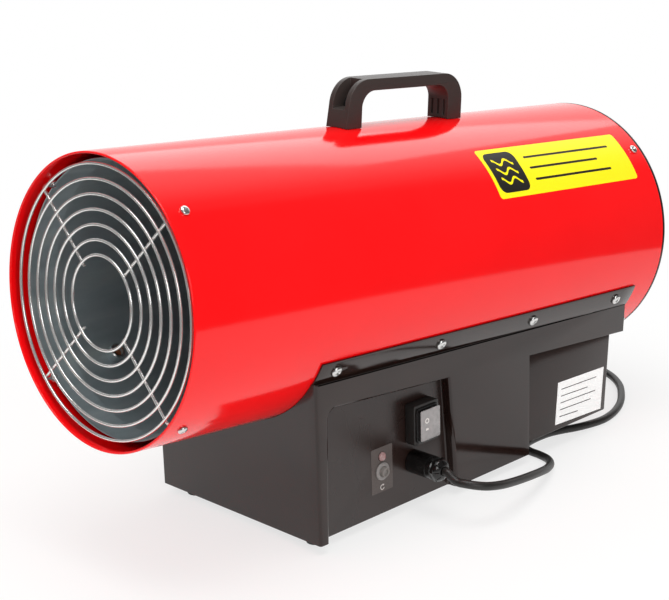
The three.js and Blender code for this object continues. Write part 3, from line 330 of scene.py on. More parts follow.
def finishes():
    """Every material of the object, by a short key, made once."""
    if not FINISH:
        made = {
            "red": ("red_powder_coat_gloss", red_powder_coat),
            "black": ("black_powder_coat_gloss", black_powder_coat(0.08)),
            "plate": ("black_powder_coat_satin", black_powder_coat(0.24)),
            "abs": ("black_abs_moulded", moulded_abs("#38302D", 0.4, 0.04)),
            "nylon": ("black_nylon_moulded", moulded_abs("#161413", 0.34, 0.015)),
            "gland": ("black_nylon_polished", moulded_abs("#080707", 0.2, 0.008, 0.03)),
            "grey": ("grey_abs_moulded", moulded_abs("#8A8684", 0.32, 0.01)),
            "off_white": ("off_white_abs_moulded", moulded_abs("#7E7975", 0.34, 0.01)),
            # liner: lightened grey-green, painted light inside the drum
            "liner": ("liner_enamel_painted_light", enamelled_liner),
            "zinc": ("zinc_plated_sheet", rolled_metal("#A9ADAC", 0.36, tint="#C9C4B4")),
            "wire": ("nickel_plated_wire", rolled_metal("#F8F7F4", 0.2, 1.0, (1, 1, 1), metallic=0.8)),
            "screw": ("zinc_plated_screw", rolled_metal("#DADAD8", 0.22, 0.8, (1, 1, 1))),
            "guard": ("black_coated_wire", moulded_abs("#131212", 0.3, 0.01)),
            "heat": ("stainless_heat_tinted", heat_tinted_steel),
            "fan": ("aluminium_pressed", rolled_metal("#BFC2C4", 0.34, 2.0, (0.1, 1, 1))),
            "motor": ("steel_painted_motor_can", rolled_metal("#8B8F92", 0.42, 1.2)),
            "brass": ("brass_turned", rolled_metal("#C8A052", 0.24, 0.7, (1, 0.1, 1), "#A67C3A")),
            "copper": ("copper_drawn", rolled_metal("#C27A54", 0.28, 0.9, (1, 1, 1), "#8E4F35")),
            "ceramic": ("alumina_glazed", glazed_ceramic),
            "foot": ("rubber_moulded_foot", rubber("#141313", 0.7, 0.05)),
            # slot: near-black, painted shade for the deep hollow inside the handle's slot
            "slot": ("painted_shade_in_the_slot", rubber("#050404", 0.9, 0.03, "#0B0A09")),
            "lead": ("rubber_sheath_extruded", rubber("#1B1918", 0.42, 0.012, "#38332F")),
            "tie": ("nylon_hook_tie", rubber("#0F0F0F", 0.8, 0.12)),
            "boot": ("pvc_clear_moulded", clear_vinyl),
            "lens": ("polycarbonate_lens", lamp_lens),
            "yellow": ("vinyl_yellow_printed", printed_vinyl("#FBEA06", "#FFEF0C")),
            "white": ("vinyl_white_printed", printed_vinyl("#FAFAF9", "#FFFFFF", 0.3)),
            "print": ("ink_black_printed", printed_vinyl("#15120F", "#1E1A17", 0.3)),
            "overlay": ("overlay_film_matt", printed_vinyl("#4E4441", "#57504D", 0.5)),
            "legend": ("ink_pale_printed", printed_vinyl("#D8D2CE", "#E4DEDA", 0.4))
        }
        for key, (name, shader) in made.items():
            FINISH[key] = material(name, shader)
    return FINISH


# ------------------------------------------------------------------ shapes
# A shape is (vertices, faces) in millimetres.


def polar(radius, degrees):
    """x and z at a radius and an angle."""
    angle = math.radians(degrees)
    return radius * math.cos(angle), radius * math.sin(angle)


def joined(*shapes):
    """Several shapes as one list of vertices and faces."""
    vertices, faces = [], []
    for part_vertices, part_faces in shapes:
        start = len(vertices)
        vertices += part_vertices
        faces += [tuple(i + start for i in face) for face in part_faces]
    return vertices, faces


def placed(shape, matrix):
    """The shape moved by a matrix."""
    vertices, faces = shape
    return [tuple(matrix @ Vector(v)) for v in vertices], faces


def shifted(shape, x, y, z):
    """The shape moved by x, y, z."""
    return placed(shape, Matrix.Translation((x, y, z)))


def about_y(shape, degrees):
    """The shape turned about Y, 0 degrees at +X and 90 degrees at +Z."""
    return placed(shape, Matrix.Rotation(-math.radians(degrees), 4, "Y"))


def turned(profile, segments=96, ring=False):
    """A solid turned about Y from (radius, y) pairs, closed on itself where ring is true."""
    vertices, faces, rows = [], [], []
    for radius, y in profile:
        if radius < 1e-6:
            rows.append([len(vertices)])
            vertices.append((0, y, 0))
            continue
        rows.append(list(range(len(vertices), len(vertices) + segments)))
        for i in range(segments):
            angle = 2 * math.pi * i / segments
            vertices.append((radius * math.cos(angle), y, radius * math.sin(angle)))
    pairs = list(zip(rows, rows[1:]))
    if ring:
        pairs.append((rows[-1], rows[0]))
    for a, b in pairs:
        for i in range(segments):
            j = (i + 1) % segments
            if len(a) == 1 and len(b) == 1:
                continue
            if len(a) == 1:
                faces.append((a[0], b[i], b[j]))
            elif len(b) == 1:
                faces.append((a[i], b[0], a[j]))
            else:
                faces.append((a[i], b[i], b[j], a[j]))
    return vertices, faces


def along_x(y, z):
    """Turns a shape about Y into one about the X axis through y, z."""
    return Matrix.Translation((0, y, z)) @ Matrix.Rotation(-math.pi / 2, 4, "Z")


def turned_x(profile, y, z, segments=48, ring=False):
    """The same, from (radius, x) pairs, about the X axis through y, z."""
    return placed(turned(profile, segments, ring), along_x(y, z))


def turned_z(profile, x, y, segments=48):
    """The same, from (radius, z) pairs, about the Z axis through x, y."""
    return placed(
        turned(profile, segments), Matrix.Translation((x, y, 0)) @ Matrix.Rotation(math.pi / 2, 4, "X")
    )


def cylinder(radius, start, end, segments):
    """A round solid about Y, between two lengths along it."""
    return turned([(0, start), (radius, start), (radius, end), (0, end)], segments)


def skinned(vertices, count):
    """A closed solid through rings of count vertices each."""
    faces = [tuple(range(count)), tuple(range(len(vertices) - 1, len(vertices) - count - 1, -1))]
    for k in range(len(vertices) // count - 1):
        for i in range(count):
            a, b = k * count + i, k * count + (i + 1) % count
            faces.append((a, b, b + count, a + count))
    return vertices, faces


def prism(outline, low, high, plane="YZ"):
    """A solid of even thickness between low and high, from an outline in the named plane."""
    order = {"YZ": (2, 0, 1), "XZ": (0, 2, 1), "XY": (0, 1, 2)}[plane]
    vertices = [tuple((u, v, w)[i] for i in order) for w in (low, high) for u, v in outline]
    return skinned(vertices, len(outline))


def lofted(rings):
    """A solid through (outline in y and z, x) rings whose outlines have equal counts."""
    return skinned([(x, y, z) for outline, x in rings for y, z in outline], len(rings[0][0]))


def block(x0, x1, y0, y1, z0, z1):
    """A box between two corners."""
    return prism([(x0, y0), (x1, y0), (x1, y1), (x0, y1)], z0, z1, "XY")


def arc(u, v, radius, start, end, steps=8):
    """Points on an arc about (u, v), angles in degrees."""
    made = []
    for i in range(steps + 1):
        angle = math.radians(start + (end - start) * i / steps)
        made.append((u + radius * math.cos(angle), v + radius * math.sin(angle)))
    return made


def rounded(u, v, width, height, radius, steps=6):
    """A rectangle about (u, v) with rounded corners."""
    half_width, half_height = width / 2 - radius, height / 2 - radius
    made = []
    for sign_u, sign_v, start in ((1, 1, 0), (-1, 1, 90), (-1, -1, 180), (1, -1, 270)):
        made += arc(u + sign_u * half_width, v + sign_v * half_height, radius, start, start + 90, steps)
    return made


def smooth_path(points, per_span=8):
    """Centripetal Catmull-Rom curve through the points, as the CAD model bends its lead."""
    knots = [Vector(p) for p in points]
    knots = [2 * knots[0] - knots[1], *knots, 2 * knots[-1] - knots[-2]]
    made = []
    for a, b, c, d in zip(knots, knots[1:], knots[2:], knots[3:]):
        t1 = max((b - a).length ** 0.5, 1e-4)
        t2 = t1 + max((c - b).length ** 0.5, 1e-4)
        t3 = t2 + max((d - c).length ** 0.5, 1e-4)
        for i in range(per_span):
            t = t1 + (t2 - t1) * i / per_span
            ab = a * ((t1 - t) / t1) + b * (t / t1)
            bc = b * ((t2 - t) / (t2 - t1)) + c * ((t - t1) / (t2 - t1))
            cd = c * ((t3 - t) / (t3 - t2)) + d * ((t - t2) / (t3 - t2))
            low = ab * ((t2 - t) / t2) + bc * (t / t2)
            high = bc * ((t3 - t) / (t3 - t1)) + cd * ((t - t1) / (t3 - t1))
            made.append(low * ((t2 - t) / (t2 - t1)) + high * ((t - t1) / (t2 - t1)))
    made.append(Vector(points[-1]))
    return made


def pipe(points, radius, sides=12, ring=False):
    """A round bar along points, with closed ends unless it is a ring."""
    path = [Vector(p) for p in points]
    count = len(path)
    tangents = []
    for i in range(count):
        before = path[i - 1] if i or ring else path[0]
        after = path[(i + 1) % count] if i < count - 1 or ring else path[-1]
        tangents.append((after - before).normalized())
    side = tangents[0].orthogonal().normalized()
    vertices, faces = [], []
    for i, (point, tangent) in enumerate(zip(path, tangents)):
        if i:
            side = (side - tangent * side.dot(tangent)).normalized()
        up = tangent.cross(side)
        for k in range(sides):
            angle = 2 * math.pi * k / sides
            vertices.append(tuple(point + radius * (math.cos(angle) * side + math.sin(angle) * up)))
    for i in range(count if ring else count - 1):
        for k in range(sides):
            j, n = (i + 1) % count, (k + 1) % sides
            faces.append((i * sides + k, i * sides + n, j * sides + n, j * sides + k))
    if not ring:
        faces.append(tuple(reversed(range(sides))))
        faces.append(tuple(range((count - 1) * sides, count * sides)))
    return vertices, faces


def hoop(radius, y, wire, steps=120, sides=12):
    """A wire ring about the Y axis."""
    section = arc(radius, y, wire / 2, 0, 360 - 360 / sides, sides - 1)
    return turned(section, steps, ring=True)


def bar(start, end, radius, sides=32):
    """A straight round bar."""
    return pipe([start, end], radius, sides)


def wrapped(outline, radius, thickness, step=2.0):
    """A thin sheet that lies round the casing: outline is (y, degrees)."""
    bm = bmesh.new()
    bm.faces.new([bm.verts.new((y, angle, 0)) for y, angle in outline])
    low, high = min(a for _, a in outline), max(a for _, a in outline)
    cut = low + step
    while cut < high:
        bmesh.ops.bisect_plane(
            bm, geom=bm.verts[:] + bm.edges[:] + bm.faces[:], plane_co=(0, cut, 0), plane_no=(0, 1, 0)
        )
        cut += step
    bmesh.ops.solidify(bm, geom=bm.faces[:], thickness=thickness)
    low_z = min(v.co.z for v in bm.verts)
    vertices = []
    for vert in sorted(bm.verts, key=lambda v: tuple(v.co)):
        vert.index = len(vertices)
        x, z = polar(radius + (vert.co.z - low_z), vert.co.y)
        vertices.append((x, vert.co.x, z))
    faces = sorted(tuple(v.index for v in face.verts) for face in bm.faces)
    bm.free()
    return vertices, faces


# ------------------------------------------------------------------ pieces


def mesh_of(name, shape):
    """A mesh whose faces look outwards."""
    mesh = bpy.data.meshes.new(name)
    mesh.from_pydata(shape[0], [], shape[1])
    bm = bmesh.new()
    bm.from_mesh(mesh)
    bmesh.ops.remove_doubles(bm, verts=bm.verts[:], dist=1e-4)
    bmesh.ops.recalc_face_normals(bm, faces=bm.faces[:])
    bm.to_mesh(mesh)
    bm.free()
    return mesh


def linked(name, data):
    """A new object in the scene."""
    made = bpy.data.objects.new(name, data)
    bpy.context.scene.collection.objects.link(made)
    return made


def removed(obj):
    """Takes a helper object and its mesh out again."""
    mesh = obj.data
    bpy.data.objects.remove(obj)
    bpy.data.meshes.remove(mesh)


def settle(obj):
    """Applies an object's modifiers."""
    graph = bpy.context.evaluated_depsgraph_get()
    graph.update()
    old = obj.data
    obj.data = bpy.data.meshes.new_from_object(obj.evaluated_get(graph))
    obj.modifiers.clear()
    bpy.data.meshes.remove(old)


def boolean(obj, shape, operation):
    """Joins, cuts or crosses the object with one closed shape."""
    other = linked("cutter", mesh_of("cutter", shape))
    modifier = obj.modifiers.new("cut", "BOOLEAN")
    modifier.operation = operation
    modifier.object = other
    modifier.solver = "EXACT"
    settle(obj)
    removed(other)
    if not obj.data.vertices:
        raise RuntimeError(f"{obj.name}: nothing is left after a cut")


def bevelled(obj, width, segments=2, angle=40):
    """Rounds the edges that turn by more than the angle."""
    modifier = obj.modifiers.new("round", "BEVEL")
    modifier.width = width
    modifier.segments = segments
    modifier.limit_method = "ANGLE"
    modifier.angle_limit = math.radians(angle)
    modifier.use_clamp_overlap = True
    settle(obj)


def rolled(obj, width, chosen, segments=4):
    """Rounds the sharp edges whose two ends both pass the test chosen(x, y, z)."""
    bm = bmesh.new()
    bm.from_mesh(obj.data)
    bmesh.ops.remove_doubles(bm, verts=bm.verts[:], dist=1e-3)
    edges = [
        e for e in bm.edges
        if len(e.link_faces) == 2 and e.calc_face_angle() > 0.8 and all(chosen(*v.co) for v in e.verts)
    ]
    bmesh.ops.bevel(
        bm, geom=edges, offset=width, segments=segments, profile=0.5, affect="EDGES", clamp_overlap=True
    )
    bm.to_mesh(obj.data)
    bm.free()


def piece(name, shape, space, finish, nodes=(), body="heater", slot=None, **work):
    """A finished piece: cut and rounded in millimetres, set in place and riding on its body.

    cuts, joins and keeps are lists of closed shapes, rolls are (radius, test) pairs for folded
    edges, bevel is the radius of the others and smooth the angle up to which shading runs on.
    """
    obj = linked(name, mesh_of(name, shape))
    for key, operation in (("joins", "UNION"), ("keeps", "INTERSECT"), ("cuts", "DIFFERENCE")):
        for other in work.get(key, ()):
            boolean(obj, other, operation)
    for radius, chosen in work.get("rolls", ()):
        rolled(obj, radius, chosen)
    if work.get("bevel"):
        bevelled(obj, work["bevel"], work.get("segments", 2), work.get("bevel_angle", 40))
    obj.data.name = name
    obj.data.transform(space)
    obj.data.shade_smooth()
    obj.data.set_sharp_from_angle(angle=math.radians(work.get("smooth", 34)))
    obj.data.materials.clear()
    obj.data.materials.append(finishes()[finish])
    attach(obj, body)
    if nodes:
        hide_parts(*nodes)
    return obj


def repaint(finish, *nodes):
    """Gives CAD nodes that keep their own shape a finish."""
    for name in nodes:
        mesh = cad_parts[name].data
        mesh.materials.clear()
        mesh.materials.append(finishes()[finish])


# ------------------------------------------------------------------ settings


def length(name, description, default):
    """A length setting, given in millimetres."""
    return bpy.props.FloatProperty(
        name=name, description=description, default=default / 1000, unit="LENGTH", subtype="DISTANCE"
    )


def tint(name, description, code):
    """A colour setting."""
    return bpy.props.FloatVectorProperty(
        name=name, description=description, default=srgb(code)[:3], subtype="COLOR", min=0, max=1
    )


class HeaterCasingSettings(bpy.types.PropertyGroup):
    """Sizes of the round casing and its guards"""

    radius: length("Casing radius", "Outer radius of the round casing", CASING_RADIUS)
    hem: length("Hem depth", "Width of the turned-in rim", 5)
    wire: length("Wire", "Diameter of the guard wires", 2.4)
    ring_pitch: length("Ring pitch", "Step between the outlet guard's rings", 11)
    inner_ring: length("Inner ring", "Radius of the smallest outlet ring", 35)
    liner_radius: length("Liner radius", "Outer radius of the combustion drum", 104)


class HeaterHandleSettings(bpy.types.PropertyGroup):
    """Sizes of the carrying handle"""

    front: length("Front", "Start of the handle along the casing", 238)
    span: length("Span", "Length of the handle", 137)
    height: length("Height", "Height of the handle above the casing", 38.5)
    width: length("Width", "Width of the handle across the casing", 23)


class HeaterBaseSettings(bpy.types.PropertyGroup):
    """Sizes of the folded base"""

    fold: length("Fold radius", "Outer radius of the folded corners", 2.4)
    foot_radius: length("Foot radius", "Radius of a rubber foot", 10)


class HeaterControlSettings(bpy.types.PropertyGroup):
    """Places of the controls on their plate"""

    switch_y: length("Switch along", "Middle of the switch along the base", 242.7)
    switch_z: length("Switch height", "Middle of the switch below the outlet's centre", -136.6)
    button_y: length("Reset along", "Reset button along the base", 201.5)
    button_z: length("Reset height", "Reset button below the outlet's centre", -168.5)


class HeaterLeadSettings(bpy.types.PropertyGroup):
    """Sizes of the mains lead"""

    diameter: length("Lead diameter", "Outer diameter of the sheath", 7)
    coil_radius: length("Coil radius", "Radius at the middle of the coil's turns", 38.5)
    pitch: length("Turn pitch", "Step between neighbouring turns", 7.6)


class HeaterStageSettings(bpy.types.PropertyGroup):
    """Light and floor around the heater"""

    floor: tint("Floor", "Colour of the floor", "#F2F1EF")
    ambient: bpy.props.FloatProperty(
        name="Ambient", description="Brightness of the studio around the heater", default=0.62, min=0
    )
    room: bpy.props.FloatProperty(
        name="Room", description="Brightness of the room that glossy paint mirrors", default=0.14, min=0
    )


# ------------------------------------------------------------------ stage


def look_matrix(place, right, down, forward):
    """Camera matrix from its measured axes."""
    axes = Matrix((right, [-c for c in down], [-c for c in forward])).transposed().to_4x4()
    return Matrix.Translation(place) @ axes


class HEATER_OT_stage(bpy.types.Operator):
    """Sets up the camera, the floor and the studio lights"""

    bl_idname = "heater.stage"
    bl_label = "Stage"

    def execute(self, context):
        settings = context.scene.heater_stage
        self.camera(context)
        self.floor(settings)
        self.world(context, settings)
        self.lamps()
        context.scene.view_settings.view_transform = "Standard"
        return {"FINISHED"}

    def camera(self, context):
        """The camera as solved from the photograph's perspective."""
        data = bpy.data.cameras.new("camera")
        data.sensor_fit = "HORIZONTAL"
        data.sensor_width = 36
        data.lens = 90.8
        data.clip_start = 0.05
        data.clip_end = 50
        place = (Vector((952.4, -683.2, 348.5)) + SHIFT) * 0.001
        obj = linked("camera", data)
        obj.matrix_world = look_matrix(
            place, (0.70132, 0.71225, -0.02907), (0.18694, -0.22312, -0.95670), (-0.68790, 0.66552, -0.28962)
        )
        context.scene.camera = obj

    def floor(self, settings):
        """A round pale floor that keeps the shadow and fades to white towards its edge."""
        reach, sides = 0.74, 120

        def shader(tree):
            place = add(tree, "TexCoord").outputs["Object"]
            away = add(tree, "VectorMath", {0: place}, operation="LENGTH").outputs["Value"]
            fade = add(
                tree, "MapRange", {"Value": away, "From Min": 0.3, "From Max": reach - 0.08, "To Max": 1.0},
                interpolation_type="SMOOTHSTEP"
            ).outputs["Result"]
            tone = mottled(tree, grain(tree, 40, detail=2.0), 0.04, (*settings.floor, 1), "#E8E7E4")
            matt = add(tree, "BsdfDiffuse", {"Color": tone}).outputs["BSDF"]
            white = add(tree, "Emission", {"Color": srgb("#FFFFFF"), "Strength": 1.0})
            path = add(tree, "LightPath")
            seen = calculated(tree, "MAXIMUM", path.outputs["Is Camera Ray"], path.outputs["Is Glossy Ray"])
            seen = calculated(tree, "MAXIMUM", seen, path.outputs["Is Transmission Ray"])
            share = calculated(tree, "MULTIPLY", spread(tree, fade, 0.71, 1.0), seen)
            return add(tree, "MixShader", {0: share, 1: matt, 2: white.outputs[0]}).outputs[0]

        mesh = bpy.data.meshes.new("floor")
        rim = [(*polar(reach, 360 / sides * i), 0) for i in range(sides)]
        mesh.from_pydata(rim, [], [tuple(range(sides))])
        mesh.materials.append(material("floor_paper_matt", shader))
        linked("floor", mesh)

    def world(self, context, settings):
        """A plain studio: pure white where it is seen, and dimmer on the camera's side."""
        world = bpy.data.worlds.new("studio")
        world.use_nodes = True
        tree = world.node_tree
        tree.nodes.clear()
        way = add(tree, "TexCoord").outputs["Generated"]
        toward = add(tree, "VectorMath", {0: way, 1: (-0.67, 0.66, 0.34)}, operation="DOT_PRODUCT")
        room = add(
            tree, "MapRange",
            {
                "Value": toward.outputs["Value"],
                "From Min": 0.5,
                "From Max": 0.86,
                "To Min": settings.room,
                "To Max": 1.0
            },
            interpolation_type="SMOOTHSTEP"
        ).outputs["Result"]
        path = add(tree, "LightPath")
        clear = calculated(tree, "MAXIMUM", path.outputs["Is Camera Ray"], path.outputs["Is Transmission Ray"])
        light = add(tree, "Background", {"Strength": settings.ambient}).outputs[0]
        shown = add(tree, "Background", {"Strength": room}).outputs[0]
        white = add(tree, "Background", {"Strength": 1.0}).outputs[0]
        for background in (light, shown, white):
            background.node.inputs["Color"].default_value = srgb("#FFFFFF")
        mixed = add(tree, "MixShader", {0: path.outputs["Is Glossy Ray"], 1: light, 2: shown})
        mixed = add(tree, "MixShader", {0: clear, 1: mixed.outputs[0], 2: white})
        add(tree, "OutputWorld", {"Surface": mixed.outputs[0]})
        context.scene.world = world

    def lamps(self):
        """Softboxes: one overhead, one behind that lights the casing's top, one at the side."""
        for name, place, size, power in (
            ("softbox_top", (0.2, -0.3, 1.8), (1.3, 1.0), 19),
            ("softbox_back", (-0.9, 1.35, 1.35), (1.5, 0.8), 5),
            ("softbox_side", (1.9, -0.9, 0.9), (1.0, 0.8), 11)
        ):
            data = bpy.data.lights.new(name, "AREA")
            data.shape = "RECTANGLE"
            data.size, data.size_y = size
            data.energy = power
            obj = linked(name, data)
            obj.location = place
            aim = Vector((0, 0, 0.16)) - Vector(place)
            obj.rotation_euler = aim.to_track_quat("-Z", "Y").to_euler()


# ------------------------------------------------------------------ mains lead

GLAND = (237.0, -170.5)  # y, z
GLAND_TIP = PLATE_X + 34.3
COIL = (-35.0, 560.0)
COIL_TURNS = 4
COIL_LIFT = 1.2
PLUG_RADIUS = 18.5
PLUG_X = COIL[0] - 22


def lead_points(diameter, coil_outer):
    """The lead's way from the gland to the coil, the same as in the CAD model."""
    low = FLOOR_Z + diameter / 2 + 0.2
    layer = FLOOR_Z + diameter / 2 + COIL_LIFT
    end = COIL[1] + coil_outer
    return [
        (GLAND_TIP + GAP, GLAND[0], GLAND[1]), (123.7, 237, -170.6), (127.9, 237.2, -173.5), (133, 238, -176.2),
        (140, 240, -176.6), (146, 244.5, -177.6), (150.5, 252.5, -179.6), (151.5, 269, -183.4),
        (147.5, 292, -188.6), (141.5, 318, -194), (134.5, 340, -199.2), (126.5, 359, -204.2),
        (116.5, 376, -207.8), (106.5, 384.6, low), (95, 387.4, low), (83, 388.6, low), (74, 393.4, low),
        (70, 402.5, low), (68.6, 418, low), (69.6, 433, low), (73.6, 446, low), (79, 459, low),
        (83.4, 475, low), (85.4, 491, low), (83, 508, low), (77.5, 524, low), (69.5, 540, low), (58, 557, low),
        (42, 576, low), (21, 592, low), (-3, 602, low + 0.3), (COIL[0] + 16, end - 0.6, layer),
        (COIL[0] + 2 * GAP, end, layer)
    ]


def coil_points(diameter, outer, pitch, per_turn=48):
    """Two layers of turns: in along the floor, up, and out again on top."""
    layer = FLOOR_Z + diameter / 2 + COIL_LIFT
    half = COIL_TURNS / 2
    made = []
    for i in range(COIL_TURNS * per_turn + 1):
        turn = i / per_turn
        angle = math.pi / 2 + 2 * math.pi * turn
        radius = outer - pitch * (half - abs(turn - half))
        share = min(max((turn - half + 0.25) / 0.5, 0), 1)
        rise = share * share * (3 - 2 * share)
        made.append(
            Vector((
                COIL[0] + radius * math.cos(angle), COIL[1] + radius * math.sin(angle), layer + pitch * rise
            ))
        )
    return made


def tail_points(start, steps=12):
    """From the last turn into the plug."""
    end = Vector((PLUG_X + GAP, start.y, FLOOR_Z + PLUG_RADIUS + 0.2))
    a, b = Vector((start.x - 8, start.y, start.z)), Vector((PLUG_X + 10, end.y, end.z))
    made = []
    for i in range(1, steps + 1):
        t = i / steps
        made.append(start * (1 - t) ** 3 + a * 3 * t * (1 - t) ** 2 + b * 3 * t * t * (1 - t) + end * t**3)
    return made


class HEATER_OT_lead(bpy.types.Operator):
    """Makes the cable gland, the mains lead with its coil and tie, and the plug"""

    bl_idname = "heater.lead"
    bl_label = "Mains lead"

    def execute(self, context):
        settings = context.scene.heater_lead
        diameter = metres(settings.diameter)
        pitch = metres(settings.pitch)
        mean = metres(settings.coil_radius)
        outer = mean + COIL_TURNS / 4 * pitch
        gland = self.gland(diameter)
        coil = coil_points(diameter, outer, pitch)
        points = smooth_path(lead_points(diameter, outer), 6)[:-1] + coil + tail_points(coil[-1])
        lead = self.lead(points, diameter)
        tie = self.tie(diameter, mean, pitch)
        plug = self.plug(diameter, coil[-1].y)
        length_m = sum((b - a).length for a, b in zip(points, points[1:])) / 1000
        return {"FINISHED"}

    def lead(self, points, diameter):
        """One round sheath along the whole way."""
        curve = bpy.data.curves.new("lead_sheath", "CURVE")
        curve.dimensions = "3D"
        curve.bevel_depth = diameter / 2000
        curve.bevel_resolution = 5
        curve.use_fill_caps = True
        spline = curve.splines.new("POLY")
        spline.points.add(len(points) - 1)
        for target, point in zip(spline.points, points):
            target.co = (*(FLOOR @ point), 1)
        spline.use_smooth = True
        curve.materials.append(finishes()["lead"])
        obj = linked("lead_sheath", curve)
        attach(obj, "heater")
        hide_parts("power_cord", "cord_coil")
        return obj

    def gland(self, diameter):
        """Hexagon, ribbed clamp nut and slotted dome, with the lead's bore through it."""
        y, z = GLAND
        seat = PLATE_X + GAP
        bore = diameter / 2 + GAP
        nut = GLAND_TIP - 7.5
        body = turned_x(
            [
                (bore, PLATE_X - SHEET - 14), (8, PLATE_X - SHEET - 14), (8, seat), (9.2, seat),
                (9.6, seat + 0.5), (9.6, nut - 5.7), (8.9, nut - 5.3), (8.9, nut - 4.8), (9.6, nut - 4.4),
                (9.5, nut - 0.8), (8.6, nut), (9.0, nut + 4), (8.5, nut + 5), (7.6, nut + 5.8),
                (6.4, nut + 6.6), (bore + 1, GLAND_TIP), (bore, GLAND_TIP)
            ],
            y, z, 64, ring=True
        )
        hexagon = turned_x(
            [(0, nut), (9.4, nut), (10.2, nut + 0.8), (10.2, nut + 3.2), (9.4, nut + 4), (0, nut + 4)], y, z, 6
        )
        core = shifted(placed(cylinder(bore, nut - 1, nut + 5, 48), along_x(0, 0)), 0, y, z)
        ribs = []
        for i in range(20):
            angle = math.radians(18 * i)
            at = (y + 9.1 * math.cos(angle), z + 9.1 * math.sin(angle))
            ribs.append(bar((seat + 3, *at), (nut - 7, *at), 0.6, 10))
        slots = []
        for i in range(8):
            slot_shape = block(nut + 4.6, GLAND_TIP - 0.4, -0.35, 0.35, bore + 1.2, 12)
            spin = Matrix.Translation((0, y, z)) @ Matrix.Rotation(math.radians(45 * i), 4, "X")
            slots.append(placed(slot_shape, spin))
        return piece(
            "gland_body", body, FLOOR, "gland", ["cable_gland"], slot="black_plastic", joins=[hexagon, *ribs],
            cuts=[core, *slots], smooth=38
        )

    def tie(self, diameter, mean, pitch):
        """A hook-and-loop strap round all the turns, its end lapped over."""
        low = FLOOR_Z + COIL_LIFT - GAP
        high = FLOOR_Z + COIL_LIFT + diameter + pitch + GAP
        half = pitch / 2 + diameter / 2 + 0.9
        y = COIL[1] - mean
        outer = rounded(y, (low + high) / 2, 2 * half + 1.3, high - low + 1.3, 4.2)
        inner = rounded(y, (low + high) / 2, 2 * half, high - low, 3.6)
        lap = block(COIL[0] - 4, COIL[0] + 4, y - half + 4, y + half - 1, high + 0.5, high + 1.1)
        return piece(
            "tie_strap", prism(outer, COIL[0] - 4, COIL[0] + 4), FLOOR, "tie", ["cord_tie"], slot="rubber",
            joins=[lap], cuts=[prism(inner, COIL[0] - 5, COIL[0] + 5)], bevel=0.15
        )

    def plug(self, diameter, y):
        """A moulded two-pin plug with a ribbed strain relief and side earth recesses."""
        z = FLOOR_Z + PLUG_RADIUS + 0.2
        spin = Matrix.Translation((PLUG_X, y, z)) @ Matrix.Rotation(math.pi / 2, 4, "Z")
        body = turned(
            [
                (diameter / 2 + 0.3, 0.3), (diameter / 2 + 1.2, 0.3), (diameter / 2 + 1.9, 3),
                (diameter / 2 + 2.6, 14), (9.5, 17.5), (12.6, 22), (15.2, 29.5), (16.6, 31.5),
                (PLUG_RADIUS - 0.5, 33.4), (PLUG_RADIUS, 34.4), (PLUG_RADIUS, 45.6), (PLUG_RADIUS - 1, 46.8),
                (PLUG_RADIUS - 2, 47), (0, 47), (0, 6), (diameter / 2 + 0.3, 6)
            ],
            72
        )
        neck = diameter / 2 + 1.3
        grooves = [
            turned([(neck, y0), (9, y0), (9, y1), (neck, y1)], 48, True)
            for y0, y1 in ((2.6 + 2.9 * i, 3.7 + 2.9 * i) for i in range(4))
        ]
        earths = [block(s * PLUG_RADIUS - 2.4, s * PLUG_RADIUS + 2.4, 33, 48, -3.2, 3.2) for s in (-1, 1)]
        body_piece = piece(
            "plug_body", placed(body, spin), FLOOR, "nylon", ["mains_plug"], slot="black_plastic",
            cuts=[placed(s, spin) for s in (*grooves, *earths)], smooth=40
        )
        pin = turned([(0, 46.5), (2.4, 46.5), (2.4, 62.5), (1.9, 64.4), (1, 65), (0, 65)], 24)
        pins = joined(*[shifted(pin, s * 9.5, 0, 0) for s in (-1, 1)])
        pins_piece = piece("plug_pins", placed(pins, spin), FLOOR, "screw", slot="plain_steel")
        pins_piece.parent = body_piece
        pins_piece.matrix_parent_inverse = Matrix.Identity(4)
        return body_piece


# ------------------------------------------------------------------ casing


def screw_bore(degrees, y, radius=1.85):
    """A radial hole through the casing's wall."""
    return shifted(about_y(bar((96, 0, 0), (118, 0, 0), radius, 24), degrees), 0, y, 0)


def flange_screws():
    """Name, angle and length along the casing of every screw of the flanges."""
    made = []
    for i, y in enumerate(FLANGE_SCREW_Y):
        angle = -29.5 + flange_turn(y)
        made.append((f"flange_screw_right_{i + 1}", angle, y))
        made.append((f"flange_screw_left_{i + 1}", 180 - angle, y))
    return made


def pan_head(radius, height):
    """A pan head with a cross recess, its seat at z = 0 and its shank below."""
    head = turned_z(
        [
            (0, -6), (1.5, -6), (1.5, 0), (radius, 0), (radius, height * 0.34), (radius * 0.95, height * 0.58),
            (radius * 0.8, height * 0.82), (radius * 0.52, height * 0.96), (0, height)
        ],
        0, 0, 40
    )
    arms = []
    for turn in (0, 90):
        slot = prism(
            [
                (-radius * 0.62, height + 0.3), (-radius * 0.2, height - 1.5), (radius * 0.2, height - 1.5),
                (radius * 0.62, height + 0.3)
            ],
            -radius * 0.13, radius * 0.13
        )
        arms.append(placed(slot, Matrix.Rotation(math.radians(turn), 4, "Z")))
    obj = linked("screw", mesh_of("screw", head))
    for arm in arms:
        boolean(obj, arm, "DIFFERENCE")
    shape = ([tuple(v.co) for v in obj.data.vertices], [tuple(p.vertices) for p in obj.data.polygons])
    removed(obj)
    return shape


def screw_place(seat, degrees, y, turn):
    """Where a screw stands on the casing, its recess turned by some degrees."""
    radial = Matrix.Translation((0, y, 0)) @ Matrix.Rotation(-math.radians(degrees), 4, "Y")
    outward = Matrix.Translation((seat, 0, 0)) @ Matrix.Rotation(math.pi / 2, 4, "Y")
    return radial @ outward @ Matrix.Rotation(math.radians(turn), 4, "Z")


